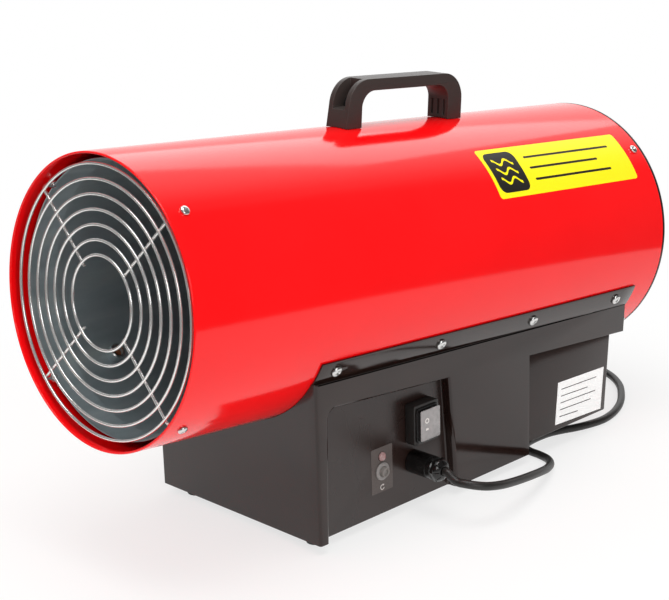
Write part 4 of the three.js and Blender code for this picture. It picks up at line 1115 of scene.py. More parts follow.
class HEATER_OT_casing(bpy.types.Operator):
    """Makes the round casing, its screws and the yellow sticker"""

    bl_idname = "heater.casing"
    bl_label = "Casing"

    def execute(self, context):
        settings = context.scene.heater_casing
        radius = metres(settings.radius)
        self.shell(radius, metres(settings.hem))
        self.screws(radius)
        self.sticker(radius)
        return {"FINISHED"}

    def shell(self, radius, hem):
        """Rolled tube with a hemmed rim at both ends."""

        def rim(y, side):
            bead = [(radius, y + side * 1.6)]
            for a in (math.radians(20 * i) for i in range(1, 9)):
                bead.append((radius - 0.9 + 0.9 * math.cos(a), y + side * (0.9 - 0.9 * math.sin(a))))
            return [
                *bead, (radius - 1.8, y + side * 1.6), (radius - 1.8, y + side * hem),
                (radius - 1.0, y + side * (hem + 0.5))
            ]

        profile = rim(0, 1) + list(reversed(rim(CASING_LENGTH, -1)))
        bores = [screw_bore(a, y) for a in DIAGONALS for y in (FRONT_SCREW_Y, REAR_SCREW_Y)]
        bores += [screw_bore(a, y) for _, a, y in flange_screws()]
        passage = block(-25, 25, 342, 390, -115, -60)
        piece(
            "casing_tube", turned(profile, 224, ring=True), CASING, "red", ["casing_shell"], slot="red_paint",
            cuts=[joined(*bores), passage], smooth=30
        )

    def screws(self, radius):
        """Bright pan heads on the diagonals and along the flange."""
        small, large = pan_head(3.8, 2.4), pan_head(4.7, 2.4)
        screws = [
            (f"{end}_screw_{i + 1}", small, screw_place(radius + GAP, degrees, y, 23 + 37 * i))
            for end, y in (("front", FRONT_SCREW_Y), ("rear", REAR_SCREW_Y))
            for i, degrees in enumerate(DIAGONALS)
        ]
        for i, (name, degrees, y) in enumerate(flange_screws()):
            screws.append((name, large, screw_place(FLANGE_OUTER + GAP, degrees, y, 11 + 29 * i)))
        for name, head, place in screws:
            piece(f"{name}_head", placed(head, place), CASING, "screw", [name], slot="plain_steel")

    def sticker(self, radius):
        """A plain yellow sticker with a black panel of warm-air waves."""
        y0, y1, top, low = 334.0, 521.0, 55.5, 30.5
        mid_y, mid_a = (y0 + y1) / 2, (top + low) / 2
        per_mm = math.degrees(1 / radius)

        def patch(y, angle, width, height, corner):
            flat = rounded(0, 0, width, height, corner)
            return [(y + u, angle + v * per_mm) for u, v in flat]

        height = (top - low) / per_mm
        piece(
            "sticker_film", wrapped(patch(mid_y, mid_a, y1 - y0, height, 3), radius + 0.02, 0.14), CASING,
            "yellow"
        )
        piece(
            "sticker_panel", wrapped(patch(y0 + 23, mid_a, 38, height - 9, 7), radius + 0.17, 0.04), CASING,
            "print"
        )
        waves = []
        for row in (-9.0, 0.0, 9.0):
            upper, lower = [], []
            for i in range(25):
                u = -12 + i
                v = row + 2.6 * math.sin(u * math.pi / 8)
                upper.append((y0 + 23 + u, mid_a + (v + 1.2) * per_mm))
                lower.append((y0 + 23 + u, mid_a + (v - 1.2) * per_mm))
            waves.append(wrapped(upper + lower[::-1], radius + 0.22, 0.03))
        piece("sticker_waves", joined(*waves), CASING, "yellow")
        bars = []
        for line, (start, width) in enumerate(((52, 116), (52, 92), (52, 104))):
            y = y0 + start + width / 2
            bars.append(
                wrapped(patch(y, mid_a + (11 - 11 * line) * per_mm, width, 2.2, 1.0), radius + 0.17, 0.03)
            )
        piece("sticker_bars", joined(*bars), CASING, "print")


class HEATER_OT_guards(bpy.types.Operator):
    """Makes the wire guards of the outlet and the intake"""

    bl_idname = "heater.guards"
    bl_label = "Guards"

    def execute(self, context):
        settings = context.scene.heater_casing
        wire = metres(settings.wire)
        inner = metres(settings.inner_ring)
        pitch = metres(settings.ring_pitch)
        rings = [hoop(inner + pitch * i, 5, wire) for i in range(7)]
        arms = [self.arm(d, inner - wire, 5, 1, FRONT_SCREW_Y, wire, -0.85) for d in DIAGONALS]
        piece(
            "outlet_guard", joined(*rings, *arms), CASING, "wire", ["front_grille"], slot="bright_wire",
            smooth=50
        )
        self.intake(wire)
        return {"FINISHED"}

    def arm(self, degrees, start, ring_y, side, lug_y, wire, lift):
        """A spoke that bends back inside the rim and ends in a flattened eye."""
        spoke_y = ring_y - side * wire * lift
        bend = 4.2
        lug = 105.9
        path = [(start, spoke_y, 0), (lug - bend, spoke_y, 0)]
        path += [
            (lug - bend + bend * math.sin(a), spoke_y + side * bend * (1 - math.cos(a)), 0)
            for a in (math.radians(15 * i) for i in range(1, 7))
        ]
        path.append((lug, lug_y - side * 3, 0))
        eye = turned_x(
            [(1.85, lug - 0.4), (3.7, lug - 0.4), (3.7, lug + 1.1), (1.85, lug + 1.1)], lug_y, 0, 32, True
        )
        tip = bar((start - 0.2, spoke_y, 0), (start + 1, spoke_y, 0), wire / 2, 14)
        return about_y(joined(pipe(path, wire / 2, 14), eye, tip), degrees)

    def intake(self, wire):
        """Black rings, four spokes, a hub plate and the band that caps the rear rim."""
        ring_y = CASING_LENGTH + 0.9 - wire * 0.9736
        radii = [42 + 13.75 * i for i in range(5)]
        rings = [hoop(r, ring_y, wire) for r in radii]
        arms = [self.arm(d, 38.0, ring_y, -1, REAR_SCREW_Y, wire, 0.8) for d in DIAGONALS]
        plate_y = ring_y + wire * 0.62
        hub = turned(
            [
                (0, plate_y - 1), (41, plate_y - 1), (42, plate_y - 0.4), (42, plate_y + 0.6),
                (41, plate_y + 1), (0, plate_y + 1)
            ],
            96
        )
        r, y = CASING_RADIUS, CASING_LENGTH
        band = [(r - 10, y + GAP), (r, y + GAP), (r, y + 2), (r - 0.5, y + 2.9), (r - 1.4, y + 3.4)]
        band += [(r - 8.8, y + 3.4), (r - 10, y + 2.2)]
        piece(
            "intake_guard", joined(*rings, *arms, hub, turned(band, 192, ring=True)), CASING, "guard",
            ["rear_guard"], slot="black_wire", smooth=40
        )


class HEATER_OT_burner(bpy.types.Operator):
    """Makes the combustion drum and the burner in it"""

    bl_idname = "heater.burner"
    bl_label = "Burner"

    def execute(self, context):
        self.drum(metres(context.scene.heater_casing.liner_radius))
        self.cup()
        repaint("zinc", "burner_bar")
        repaint("brass", "gas_nozzle")
        repaint("ceramic", "igniter", "flame_sensor")
        return {"FINISHED"}

    def drum(self, radius):
        """Liner with a stiffening bead, a rolled front edge and the sensor bush."""
        front, rear = 15.0, 330.0
        inner = radius - 1
        profile = [
            (inner, front + 0.5), (inner + 0.5, front), (radius, front + 0.5), (radius, 34), (radius - 0.9, 37),
            (radius - 0.9, 40), (radius, 43), (radius, rear), (inner, rear), (inner, 43), (inner - 0.9, 40),
            (inner - 0.9, 37), (inner, 34)
        ]
        top = radius - 8.6

        def at_sensor(shape):
            return shifted(about_y(shape, 221), 0, 75, 0)

        bush = turned_x(
            [(0, top), (5.6, top), (6.5, radius - 7.8), (6.5, radius - 0.2), (0, radius - 0.2)], 0, 0, 40
        )
        bore = bar((radius - 12, 0, 0), (radius + 3, 0, 0), 4.5, 32)
        spacers = [about_y(block(inner + 0.2, 108.1, 304, 320, -6, 6), d) for d in DIAGONALS]
        holes = [
            shifted(about_y(bar((inner - 3, 0, 0), (radius + 3, 0, 0), 5, 24), 45 * i + 22.5), 0, 290, 0)
            for i in range(8)
        ]
        piece(
            "drum_liner", turned(profile, 160, ring=True), CASING, "liner", ["combustion_drum"],
            slot="zinc_steel", joins=[at_sensor(bush), *spacers],
            cuts=[at_sensor(bore), joined(*holes, *[screw_bore(d, FRONT_SCREW_Y) for d in DIAGONALS])]
        )
        rim = [(4.5, top - 0.6), (5.7, top - 0.6), (6.3, top - 0.1), (6.3, top + 0.8), (4.5, top + 0.8)]
        plug = [(0, top + 3), (4.4, top + 3), (4.4, top + 5.5), (0, top + 5.5)]
        for name, outline, ring, finish in (
            ("sensor_rim", rim, True, "screw"), ("sensor_plug", plug, False, "copper")
        ):
            piece(name, at_sensor(turned_x(outline, 0, 0, 40, ring)), CASING, finish)

    def cup(self):
        """Flared burner cup with mixing holes and the disc that holds the flame."""
        front, back, radius = 228.0, 290.0, 40.0
        profile = [
            (7.3, back - 1.5), (radius - 4, back - 1.5), (radius - 1.5, back - 4), (radius - 1.5, front + 9),
            (radius - 0.4, front + 6), (radius + 7, front + 0.2), (radius + 8.3, front + 0.2),
            (radius + 8.3, front + 1.2), (radius + 1.2, front + 7), (radius, front + 10), (radius, back - 4),
            (radius - 4, back), (7.3, back)
        ]
        holes = [
            shifted(about_y(bar((radius - 5, 0, 0), (radius + 5, 0, 0), 4, 24), 45 * i), 0, front + 30, 0)
            for i in range(8)
        ]
        probes = [bar((s * 26, back - 6, 0), (s * 26, back + 6, 0), 4.4, 24) for s in (-1, 1)]
        piece(
            "burner_flare", turned(profile, 96, ring=True), CASING, "heat", ["burner_cup"], slot="heat_steel",
            cuts=[joined(*holes), joined(*probes)]
        )
        disc = turned(
            [
                (0, front + 18), (23, front + 18), (26, front + 19.4), (29, front + 22), (29.4, front + 23.4),
                (26, front + 21), (23, front + 19.6), (0, front + 19.6)
            ],
            72
        )
        legs = [about_y(block(24, 37.8, front + 18.4, front + 20, -3, 3), a) for a in (60, 180, 300)]
        ports = [about_y(bar((14, front + 15, 0), (14, front + 25, 0), 3, 24), 60 * i + 30) for i in range(6)]
        piece(
            "burner_disc", disc, CASING, "heat", ["flame_disc"], slot="heat_steel", joins=legs,
            cuts=[joined(*ports)]
        )


class HEATER_OT_blower(bpy.types.Operator):
    """Makes the fan and its motor"""

    bl_idname = "heater.blower"
    bl_label = "Fan and motor"

    def execute(self, context):
        self.fan()
        self.motor()
        repaint("zinc", "motor_bracket")
        repaint("screw", "motor_shaft", "handle_bolt_1", "handle_bolt_2")
        return {"FINISHED"}

    def fan(self):
        """Six twisted, cambered blades on a pressed hub."""
        middle, hub_radius, tip = 404.0, 17.0, 98.5
        rows, columns = 24, 14
        upper, lower = [], []
        for i in range(rows + 1):
            share = i / rows
            r = hub_radius - 2 + (tip - hub_radius + 2) * share
            half = (24 + 42 * math.sqrt(share)) / 2 * math.sin(math.acos(max(0, (share - 0.86) / 0.2)))
            pitch = math.radians(44 - 20 * share)
            for j in range(columns + 1):
                chord = half * (2 * j / columns - 1)
                camber = 0.055 * chord * chord / 20
                thick = 0.72 * (1 - (2 * j / columns - 1) ** 2) ** 0.5 + 0.1
                radial = r - 0.0016 * chord * chord * share
                for rows_of, offset in ((upper, thick), (lower, -thick)):
                    h = offset - camber
                    rows_of.append((
                        radial, middle + h * math.cos(pitch) + chord * math.sin(pitch),
                        chord * math.cos(pitch) - h * math.sin(pitch)
                    ))
        count = (rows + 1) * (columns + 1)
        faces = []
        for i in range(rows):
            for j in range(columns):
                a = i * (columns + 1) + j
                b = a + columns + 1
                faces.append((a, a + 1, b + 1, b))
                faces.append((count + a, count + b, count + b + 1, count + a + 1))
        rim = list(range(columns + 1))
        rim += [i * (columns + 1) + columns for i in range(1, rows + 1)]
        rim += [rows * (columns + 1) + j for j in range(columns - 1, -1, -1)]
        rim += [i * (columns + 1) for i in range(rows - 1, 0, -1)]
        for a, b in zip(rim, rim[1:] + rim[:1]):
            faces.append((a, b, count + b, count + a))
        blade = (upper + lower, faces)
        hub = turned(
            [
                (0, middle - 12), (hub_radius - 6, middle - 12), (hub_radius - 2, middle - 10.6),
                (hub_radius, middle - 7), (hub_radius, middle + 11), (hub_radius - 1, middle + 12),
                (4.08, middle + 12), (4.08, middle - 5.7), (0, middle - 5.7)
            ],
            64
        )
        blades = [about_y(blade, 60 * i) for i in range(6)]
        piece(
            "fan_wheel", joined(hub, *blades), CASING, "fan", ["fan"], body="fan", slot="aluminium", smooth=45
        )

    def motor(self):
        """Finned can with a bearing boss and four tie screws."""
        front, rear, radius = 430.0, 502.0, 36.0
        can = turned(
            [
                (4.08, front - 6), (10.4, front - 6), (11, front - 5.2), (12, front), (radius - 7, front),
                (radius - 2, front + 2), (radius, front + 7), (radius, rear - 7), (radius - 2, rear - 2),
                (radius - 7, rear), (0, rear), (0, front + 30.3), (4.08, front + 30.3)
            ],
            96
        )
        fins = [
            about_y(block(radius - 1, radius + 2.9, front + 16, rear - 16, -0.8, 0.8), 15 * i)
            for i in range(24)
        ]
        heads = []
        for i in range(4):
            x, z = polar(radius - 10, 45 + 90 * i)
            heads.append(
                shifted(
                    turned(
                        [
                            (0, front - 1.6), (2.4, front - 1.6), (2.8, front - 1), (2.8, front + 1),
                            (0, front + 1)
                        ],
                        24
                    ),
                    x, 0, z
                )
            )
        piece("motor_can", joined(can, *fins, *heads), CASING, "motor", ["fan_motor"], slot="plain_steel")


class HEATER_OT_handle(bpy.types.Operator):
    """Makes the carrying handle"""

    bl_idname = "heater.handle"
    bl_label = "Handle"

    def execute(self, context):
        settings = context.scene.heater_handle
        front = metres(settings.front)
        rear = front + metres(settings.span)
        top = CASING_RADIUS + metres(settings.height)
        half = metres(settings.width) / 2
        under = top - 9.5
        lean, corner = 1.8, 22.0
        inner_front, inner_rear = front + 17, rear - 17
        low = CASING_RADIUS - 8
        side = [
            (front - lean, low), *arc(front + lean + corner, top - corner, corner, 176, 90, 16),
            *arc(rear - corner, top - corner, corner, 90, 4, 16), (rear, top - corner - 2), (rear, low),
            (inner_rear, low), *arc(inner_rear - 12.5, under - 12.5, 12.5, 6, 90, 10),
            *arc(inner_front + 14, under - 14, 14, 90, 174, 10), (inner_front, low)
        ]
        hollow = block(-half + 3, half - 3, inner_front + 15, inner_rear - 13, under - 6, top - 3)
        around = (front + lean + corner, top - corner)
        slot = prism(
            arc(*around, corner - 12.5, 185, 98, 12) + arc(*around, corner + 8, 98, 185, 12), -6.7, 6.7
        )
        # A thin near-black sheet on the slot's inner wall: painted shade for the handle's deep hollow
        slot_shade_sheet = prism(
            arc(*around, corner - 12.45, 184, 99, 12) + arc(*around, corner - 11.9, 99, 184, 12), -6.65, 6.65
        )
        piece("handle_slot_painted_shade", slot_shade_sheet, CASING, "slot")
        groove = [
            block(x - 1.2, x + 1.2, inner_rear - 1, inner_rear + 2, CASING_RADIUS + 3, under - 13)
            for x in (-6.5, 0, 6.5)
        ]
        seat = shifted(cylinder(CASING_RADIUS + GAP, -200, 200, 256), 0, 306, 0)
        bolts = [bar((0, y, low - 2), (0, y, CASING_RADIUS + 13), 2.35, 24) for y in (246.5, 366.5)]
        piece(
            "handle_moulding", prism(side, -half, half), CASING, "abs", ["carry_handle"], slot="black_plastic",
            cuts=[hollow, slot, *groove, *bolts, seat], bevel=1.1, segments=3, bevel_angle=48, smooth=36
        )
        return {"FINISHED"}


# ------------------------------------------------------------------ base


def recess_outline(grow):
    """The control recess in (y, z), open at the base's lower edge; its sides lean apart."""
    radius = 8 + grow
    bottom = BASE_BOTTOM - 2
    corner = 137 - grow + radius
    height = line_height(-85 + grow, corner)
    rear = 272 + grow
    rear_height = line_height(-85 + grow, rear)

    def spread(full, z):
        return full * (z - bottom) / (z - BASE_BOTTOM)

    return [
        (137 - grow - spread(3, height - radius), bottom), *arc(corner, height - radius, radius, 180, 96, 14),
        (corner + 4, line_height(-85 + grow, corner + 4)), (rear, rear_height),
        (rear + spread(7.6, rear_height), bottom)
    ]


def recess_mouth(radius=3.0, steps=8):
    """The recess's space, its edges rolled over at the wall's face."""
    rings = [(recess_outline(0), PLATE_X - SHEET - 2)]
    for i in range(steps + 1):
        angle = math.pi / 2 * i / steps
        grow = radius * (1 - math.cos(angle))
        rings.append((recess_outline(grow), BASE_HALF - radius * (1 - math.sin(angle)) + 0.001))
    rings.append((recess_outline(radius), BASE_HALF + 3))
    return lofted(rings)


def on_inlet(shape):
    """A shape about Y set on the gas inlet's axis, y = 0 at the compartment's rear wall."""
    place = Matrix.Translation((-45, square_at(BOX_END, -172), -172))
    return placed(shape, place @ Matrix.Rotation(-LEAN, 4, "X"))


def casing_cut(radius):
    """The casing's round space, in the level frame."""
    return placed(cylinder(radius, -200, 900, 224), Matrix.Rotation(-LEAN, 4, "X"))


class HEATER_OT_base(bpy.types.Operator):
    """Makes the folded base, its flanges, the rear compartment and the feet"""

    bl_idname = "heater.base"
    bl_label = "Base"

    def execute(self, context):
        settings = context.scene.heater_base
        self.shell(metres(settings.fold))
        self.flanges()
        self.rear_box()
        self.feet(metres(settings.foot_radius))
        repaint("black", "bottom_plate")
        return {"FINISHED"}

    def shell(self, fold):
        """One sheet folded round the corners and the recess, with the long bands at the rear."""
        half = BASE_HALF
        reach = BAND_END + 10
        plan = [
            *arc(-half + fold, BASE_FRONT + fold, fold, 180, 270, 8),
            *arc(half - fold, BASE_FRONT + fold, fold, 270, 360, 8), (half, reach), (half - SHEET, reach),
            *arc(half - fold, BASE_FRONT + fold, fold - SHEET, 0, -90, 8),
            *arc(-half + fold, BASE_FRONT + fold, fold - SHEET, 270, 180, 8), (-half + SHEET, reach),
            (-half, reach)
        ]
        lengths = [BAND_END - (BAND_END - FLANGE_START + 12) * i / 8 for i in range(9)]
        side = [
            (BASE_FRONT - 5, BASE_BOTTOM), (BASE_REAR, BASE_BOTTOM),
            (BASE_REAR, line_height(BAND_BOTTOM, BASE_REAR)), to_floor(BAND_END, BAND_BOTTOM),
            *[to_floor(y, fold_height(y)) for y in lengths]
        ]
        rear = block(-half + SHEET - 0.2, half - SHEET + 0.2, BASE_REAR - SHEET, BASE_REAR, BASE_BOTTOM, -150)
        beside = PLATE_X - SHEET - 1.3
        spans = [
            (-half + SHEET - 0.4, -half + 9.7, BASE_FRONT + 3, BASE_REAR - 1),
            (beside - 8.5, beside, BASE_FRONT + 3, BASE_REAR - 1),
            (-half + 3, beside, BASE_FRONT + 0.6, BASE_FRONT + 8.5)
        ]
        spans += [(x0, x1, y - 13, y + 13) for x0, x1 in ((-half + SHEET, -60), (60, beside)) for y in FOOT_Y]
        lips = [block(*span, BASE_BOTTOM, BASE_BOTTOM + SHEET) for span in spans]
        returns = prism(recess_outline(SHEET), PLATE_X - SHEET - GAP, half - 0.4)
        under = block(80, half + 1, 100, 300, -230, BASE_BOTTOM)

        def folded(x, y, z):
            outside = abs(x) > half - 0.01
            along_band = y > BASE_REAR - 1 and abs(z - line_height(BAND_BOTTOM, y)) < 0.2
            band_end = abs(y - square_at(BAND_END, z)) < 0.2
            rear_corner = abs(y - BASE_REAR) < 0.1 and z < line_height(BAND_BOTTOM, y) + 0.1
            return outside and (along_band or band_end or rear_corner)

        piece(
            "base_sheet", prism(plan, BASE_BOTTOM, -30, "XY"), FLOOR, "black", ["base_shell"],
            slot="black_paint", keeps=[prism(side, -100, 100)], joins=[rear, returns, *lips],
            cuts=[under, recess_mouth(), casing_cut(FLANGE_INNER)], rolls=[(1.1, folded)], bevel=0.3,
            segments=2, bevel_angle=50
        )

    def flanges(self):
        """Curved strips that climb round the casing, with the ledge down to each wall."""
        steps, count = 24, 9
        sweep = [FLANGE_FROM + (FLANGE_TO - FLANGE_FROM) * i / (count - 1) for i in range(count)]
        for name, side in (("right", 1), ("left", -1)):
            vertices, ledge_vertices = [], []
            for k in range(steps + 1):
                y = FLANGE_START + (BAND_END - FLANGE_START) * k / steps
                turn = flange_turn(y)
                ring = [polar(FLANGE_OUTER, a + turn) for a in sweep]
                ring += [polar(FLANGE_INNER, a + turn) for a in reversed(sweep)]
                vertices += [(side * x, y, z) for x, z in ring]
                low = fold_height(y) - 1.4
                edge = math.sqrt(FLANGE_OUTER**2 - (low + 0.7) ** 2) - 0.7
                box = [(edge, low), (BASE_HALF, low), (BASE_HALF, low + 1.2), (edge, low + 1.2)]
                ledge_vertices += [(side * x, y, z) for x, z in box]
            bores = [screw_bore(a, y, 2.0) for n, a, y in flange_screws() if name in n]
            piece(
                f"flange_{name}", skinned(vertices, 2 * count), CASING, "black",
                joins=[skinned(ledge_vertices, 4)], cuts=[cylinder(FLANGE_INNER, 0, 600, 360), *bores],
                bevel=0.3, bevel_angle=50, slot="black_paint"
            )

    def rear_box(self):
        """Closed compartment behind the base, with its gas inlet's hole and a plain sticker."""
        start, bottom = BASE_REAR + GAP, -194.5
        half = BASE_HALF - SHEET - GAP
        low, high = bottom + SHEET, 20
        body = prism(
            [
                (start, bottom), (square_at(BOX_END, bottom), bottom), to_floor(BOX_END, BAND_BOTTOM + 9),
                (start, line_height(BAND_BOTTOM + 9, start))
            ],
            -half, half
        )
        hollow = prism(
            [
                (start - 5, low), (square_at(BOX_END, low) - SHEET, low),
                (square_at(BOX_END, high) - SHEET, high), (start - 5, high)
            ],
            -half + SHEET, half - SHEET
        )
        piece(
            "rear_compartment", body, FLOOR, "black", ["rear_box"], slot="black_paint",
            cuts=[hollow, casing_cut(CASING_RADIUS + 0.6), on_inlet(cylinder(7, -5, 5, 32))],
            rolls=[(1.1, lambda x, y, z: abs(x) > half - 0.01 and (z < bottom + 0.1 or y > start + 40))],
            bevel=0.3, bevel_angle=50
        )
        corners = [(414.9, -150.7), (480.1, -153.0), (476.3, -191.7), (411.2, -188.9)]
        piece("plate_sticker", prism(corners, half + 0.02, half + 0.16), FLOOR, "white")
        rules = []
        for i, width in enumerate((50, 38, 50, 44, 26)):
            z = -157.5 - 6.2 * i
            y = 419.5 - 0.6 * i
            rules.append(
                prism(
                    [(y, z), (y + width, z - 1.7), (y + width - 0.1, z - 2.5), (y - 0.1, z - 0.8)], half + 0.17,
                    half + 0.2
                )
            )
        piece("plate_rules", joined(*rules), FLOOR, "print")

    def feet(self, radius):
        """Rubber feet with a screw recess underneath."""
        for side, s in (("right", 1), ("left", -1)):
            for i, y in enumerate(FOOT_Y):
                profile = [
                    (0, FLOOR_Z + 2.4), (3.0, FLOOR_Z + 2.4), (3.4, FLOOR_Z + 0.4), (4.0, FLOOR_Z),
                    (radius - 3.9, FLOOR_Z), (radius - 3.0, FLOOR_Z + 0.5), (radius - 2.5, FLOOR_Z + 1.4),
                    (radius, BASE_BOTTOM - 1.3), (radius, BASE_BOTTOM - 0.6), (radius - 0.4, BASE_BOTTOM - GAP),
                    (0, BASE_BOTTOM - GAP)
                ]
                piece(
                    f"rubber_foot_{side}_{i + 1}", turned_z(profile, s * 72, y, 48), FLOOR, "foot",
                    [f"foot_{side}_{i + 1}"], slot="rubber"
                )


# ------------------------------------------------------------------ controls


LAMP_RISE = 12.5  # from the reset button up to the lamp


def on_plate(profile, y, z, segments, ring=False):
    """A turned piece about the X axis, from (radius, height above the plate) pairs."""
    return turned_x([(radius, PLATE_X + height) for radius, height in profile], y, z, segments, ring)


def through_plate(y, z, radius, sides):
    """A round hole through the control plate."""
    return bar((PLATE_X - 4, y, z), (PLATE_X + 4, y, z), radius, sides)


class HEATER_OT_controls(bpy.types.Operator):
    """Makes the control plate, switch, splash boot, reset button and lamp"""

    bl_idname = "heater.controls"
    bl_label = "Controls"

    def execute(self, context):
        settings = context.scene.heater_controls
        switch = (metres(settings.switch_y), metres(settings.switch_z))
        button = (metres(settings.button_y), metres(settings.button_z))
        self.plate(switch, button)
        self.switch(*switch)
        self.reset(*button)
        repaint("nylon", "gland_nut", "control_unit")
        return {"FINISHED"}

    def plate(self, switch, button):
        """Plate at the back of the recess, with a printed film round the reset button."""
        lamp = (button[0], button[1] + LAMP_RISE)
        cuts = [
            prism(rounded(*switch, 22, 27.7, 1), PLATE_X - 4, PLATE_X + 4), through_plate(*GLAND, 8.3, 40),
            through_plate(*button, 6.2, 40), through_plate(*lamp, 3.1, 32)
        ]
        lower = block(PLATE_X - 6, PLATE_X + 6, 100, 300, -230, BASE_BOTTOM)
        cove = 1.5
        pan = [(recess_outline(-0.3 - cove), PLATE_X)]
        for i in range(1, 7):
            angle = math.pi / 12 * i
            pan.append((
                recess_outline(-0.35 - cove * (1 - math.sin(angle))), PLATE_X + cove * (1 - math.cos(angle))
            ))
        pan.append((recess_outline(-0.3), PLATE_X + cove + 1))
        piece(
            "plate_sheet", prism(recess_outline(-0.3), PLATE_X - SHEET, PLATE_X + cove), FLOOR, "plate",
            ["control_plate"], slot="black_paint", cuts=[lofted(pan), lower, *cuts],
            rolls=[(1.1, lambda x, y, z: x > PLATE_X - 0.01 and z < BASE_BOTTOM + 0.05)]
        )
        film = prism(rounded(button[0], button[1] + 1.5, 24, 38, 1.2), PLATE_X + 0.01, PLATE_X + 0.15)
        piece(
            "reset_film", film, FLOOR, "overlay",
            cuts=[through_plate(*button, 6.9, 48), through_plate(*lamp, 4.0, 40)]
        )
        self.legend(button[0], button[1] - 13.6)

    def legend(self, y, z):
        """A printed arrow that turns back on itself, as a reset sign."""
        radius, line = 2.0, 0.32
        sweep = arc(y, z, radius + line, 60, 340, 24) + arc(y, z, radius - line, 340, 60, 24)
        tip = (y + radius * math.cos(math.radians(60)), z + radius * math.sin(math.radians(60)))
        head = [(tip[0] - 0.7, tip[1] + 1.1), (tip[0] - 0.5, tip[1] - 1.0), (tip[0] + 1.3, tip[1] + 0.1)]
        shapes = [prism(outline, PLATE_X + 0.16, PLATE_X + 0.19) for outline in (sweep, head)]
        piece("reset_sign", joined(*shapes), FLOOR, "legend")

    def switch(self, y, z):
        """Framed rocker switch with its marks, under a clear splash boot."""
        seat, front = PLATE_X + GAP, PLATE_X + 10.5
        body = prism(rounded(y, z, 28, 33.7, 2.0), seat, front)
        case = block(PLATE_X - 21.2, seat + 1, y - 10.7, y + 10.7, z - 13.5, z + 13.5)
        well = block(PLATE_X - 6, front + 1, y - 9.5, y + 9.5, z - 11.3, z + 11.3)
        tags = [block(PLATE_X - 29, PLATE_X - 20, y - 3, y + 3, z + d - 0.5, z + d + 0.5) for d in (-7, 0, 7)]
        piece(
            "switch_frame", body, FLOOR, "nylon", ["switch_body"], slot="black_plastic", joins=[case, *tags],
            cuts=[well], bevel=0.7, segments=3, bevel_angle=50
        )
        tilt = math.radians(7)
        pivot = front - 4
        face = [(-10.4, 3.6), (-10.4, -0.5), (0, -4), (10.4, -0.5), (10.4, 3.6), (8.9, 5)]
        face += [(8.9 * c, 3.4 + 1.6 * c**2) for c in (math.cos(math.radians(a)) for a in range(15, 166, 10))]
        face += [(-8.9, 5)]
        section = [
            (pivot + x * math.cos(tilt) + h * math.sin(tilt), z + h * math.cos(tilt) - x * math.sin(tilt))
            for h, x in face
        ]
        piece(
            "rocker_cap", prism(section, y - 8.7, y + 8.7, "XZ"), FLOOR, "nylon", ["switch_rocker"],
            body="rocker", slot="black_plastic", bevel=0.5, segments=2, bevel_angle=45
        )
        self.boot(y, z)

    def boot(self, y, z):
        """A splash boot with a pale window over the rocker and its two marks."""
        start, face = PLATE_X + 10.8, PLATE_X + 15.2
        outer = prism(rounded(y, z, 22.4, 25.8, 1.6), start, face - 1)
        skirt = prism(rounded(y, z, 25.4, 28.8, 2.8), start, start + 1.2)
        inner = prism(rounded(y, z, 20.4, 23.8, 1.2), start - 1, face + 1)
        piece(
            "boot_skirt", outer, FLOOR, "gland", ["switch_boot"], slot="clear_rubber", joins=[skirt],
            cuts=[inner], bevel=0.3, segments=2, bevel_angle=50
        )
        piece(
            "boot_window", prism(rounded(y, z, 22.4, 25.8, 1.4), face - 0.98, face), FLOOR, "boot", bevel=0.45,
            segments=3, bevel_angle=50
        )
        at = (y - 4.2, z + 3.6)
        ring = prism(arc(*at, 2.3, 0, 360 - 15, 23), face + 0.01, face + 0.06)
        line = block(face + 0.01, face + 0.06, at[0] - 1.4, at[0] + 1.4, z - 4.4, z - 2.6)
        piece("boot_marks", line, FLOOR, "legend")
        piece("boot_ring", ring, FLOOR, "legend", cuts=[bar((face - 2, *at), (face + 2, *at), 1.35, 24)])

    def reset(self, y, z):
        """Off-white push button in a threaded bush, with the lamp above it."""
        collar = [
            (4.5, -13), (5.9, -13), (5.9, GAP), (7.3, GAP), (7.3, 1.1), (6.9, 1.6), (6.2, 1.8), (4.5, 1.8)
        ]
        cap = [(0, -9.2), (4.2, -9.2), (4.2, 4.0), (3.9, 4.7), (3.3, 5.0), (2.7, 4.8), (2.3, 3.4), (0, 3.2)]
        dome = [(0, -10), (2.8, -10), (2.8, GAP), (3.7, GAP), (3.7, 0.8), (3.4, 1.6), (2.5, 2.4), (1.3, 2.8)]
        dome.append((0, 2.9))
        piece(
            "reset_collar", on_plate(collar, y, z, 56, True), FLOOR, "grey", ["reset_bush"],
            slot="black_plastic"
        )
        piece(
            "reset_cap", on_plate(cap, y, z, 56), FLOOR, "off_white", ["reset_button"], body="reset",
            slot="white_plastic"
        )
        lamp = on_plate(dome, y, z + LAMP_RISE, 48)
        piece("lamp_dome", lamp, FLOOR, "lens", ["indicator_lamp"], slot="lamp_lens")


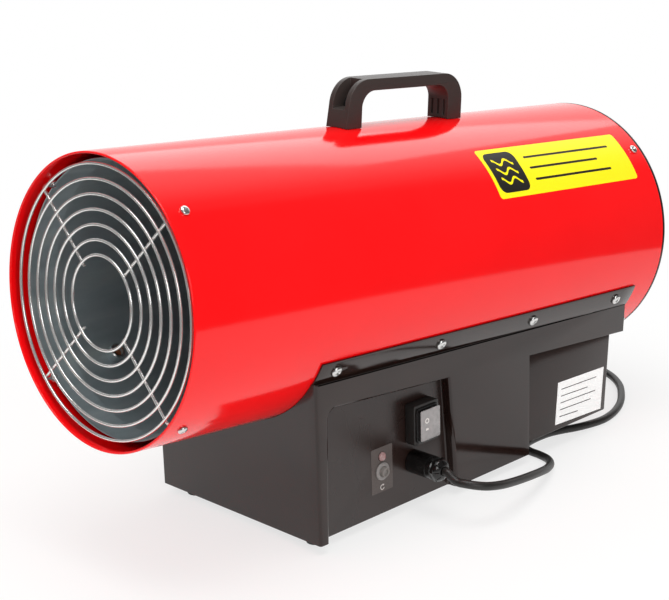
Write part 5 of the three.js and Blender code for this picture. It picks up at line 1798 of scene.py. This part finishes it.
class HEATER_OT_gas(bpy.types.Operator):
    """Makes the gas inlet and finishes the gas train"""

    bl_idname = "heater.gas"
    bl_label = "Gas train"

    def execute(self, context):
        repaint("copper", "gas_feed", "gas_pipe")
        repaint("brass", "solenoid_valve")
        stem = [(0, -16), (6.6, -16), (6.6, 10), (6.0, 10.5), (6.0, 12), (6.0, 15.4), (7.2, 16)]
        for i in range(7):
            stem += [(7.6, 16.3 + 1.0 * i), (7.1, 16.8 + 1.0 * i)]
        stem += [(7.4, 23.4), (6.4, 24), (3.4, 24), (3.0, 19), (0, 19)]
        hexes = [
            turned([(0, y0), (8.6, y0), (9.4, y0 + 0.9), (9.4, y1 - 0.9), (8.6, y1), (0, y1)], 6)
            for y0, y1 in ((0.3, 8), (-7.5, -1.5))
        ]
        piece(
            "inlet_union", on_inlet(turned(stem, 56)), FLOOR, "brass", ["gas_inlet"], slot="brass",
            joins=[on_inlet(h) for h in hexes]
        )
        return {"FINISHED"}


# ------------------------------------------------------------------ panel and run

SETTINGS = {
    "heater_casing": HeaterCasingSettings,
    "heater_handle": HeaterHandleSettings,
    "heater_base": HeaterBaseSettings,
    "heater_controls": HeaterControlSettings,
    "heater_lead": HeaterLeadSettings,
    "heater_stage": HeaterStageSettings
}
OPERATORS = (
    HEATER_OT_stage, HEATER_OT_lead, HEATER_OT_casing, HEATER_OT_guards, HEATER_OT_burner, HEATER_OT_blower,
    HEATER_OT_handle, HEATER_OT_base, HEATER_OT_controls, HEATER_OT_gas
)


class HEATER_PT_panel(bpy.types.Panel):
    """Sidebar panel that lists the heater's pieces and their settings"""

    bl_idname = "HEATER_PT_panel"
    bl_label = "Forced air heater"
    bl_space_type = "VIEW_3D"
    bl_region_type = "UI"
    bl_category = "Heater"

    def draw(self, context):
        column = self.layout.column()
        for operator in OPERATORS:
            column.operator(operator.bl_idname)
        for name, group in SETTINGS.items():
            box = self.layout.box()
            settings = getattr(context.scene, name)
            for key in group.__annotations__:
                box.prop(settings, key)


def register():
    """Registers the settings, operators and panel."""
    for name, group in SETTINGS.items():
        bpy.utils.register_class(group)
        setattr(bpy.types.Scene, name, bpy.props.PointerProperty(type=group))
    for operator in (*OPERATORS, HEATER_PT_panel):
        bpy.utils.register_class(operator)


def unregister():
    """Takes them out again."""
    for operator in (HEATER_PT_panel, *reversed(OPERATORS)):
        bpy.utils.unregister_class(operator)
    for name, group in SETTINGS.items():
        delattr(bpy.types.Scene, name)
        bpy.utils.unregister_class(group)


def main():
    register()
    bpy.ops.heater.stage()
    bpy.ops.heater.lead()
    bpy.ops.heater.casing()
    bpy.ops.heater.guards()
    bpy.ops.heater.burner()
    bpy.ops.heater.blower()
    bpy.ops.heater.handle()
    bpy.ops.heater.base()
    bpy.ops.heater.controls()
    bpy.ops.heater.gas()


if __name__ == "__main__":
    main()
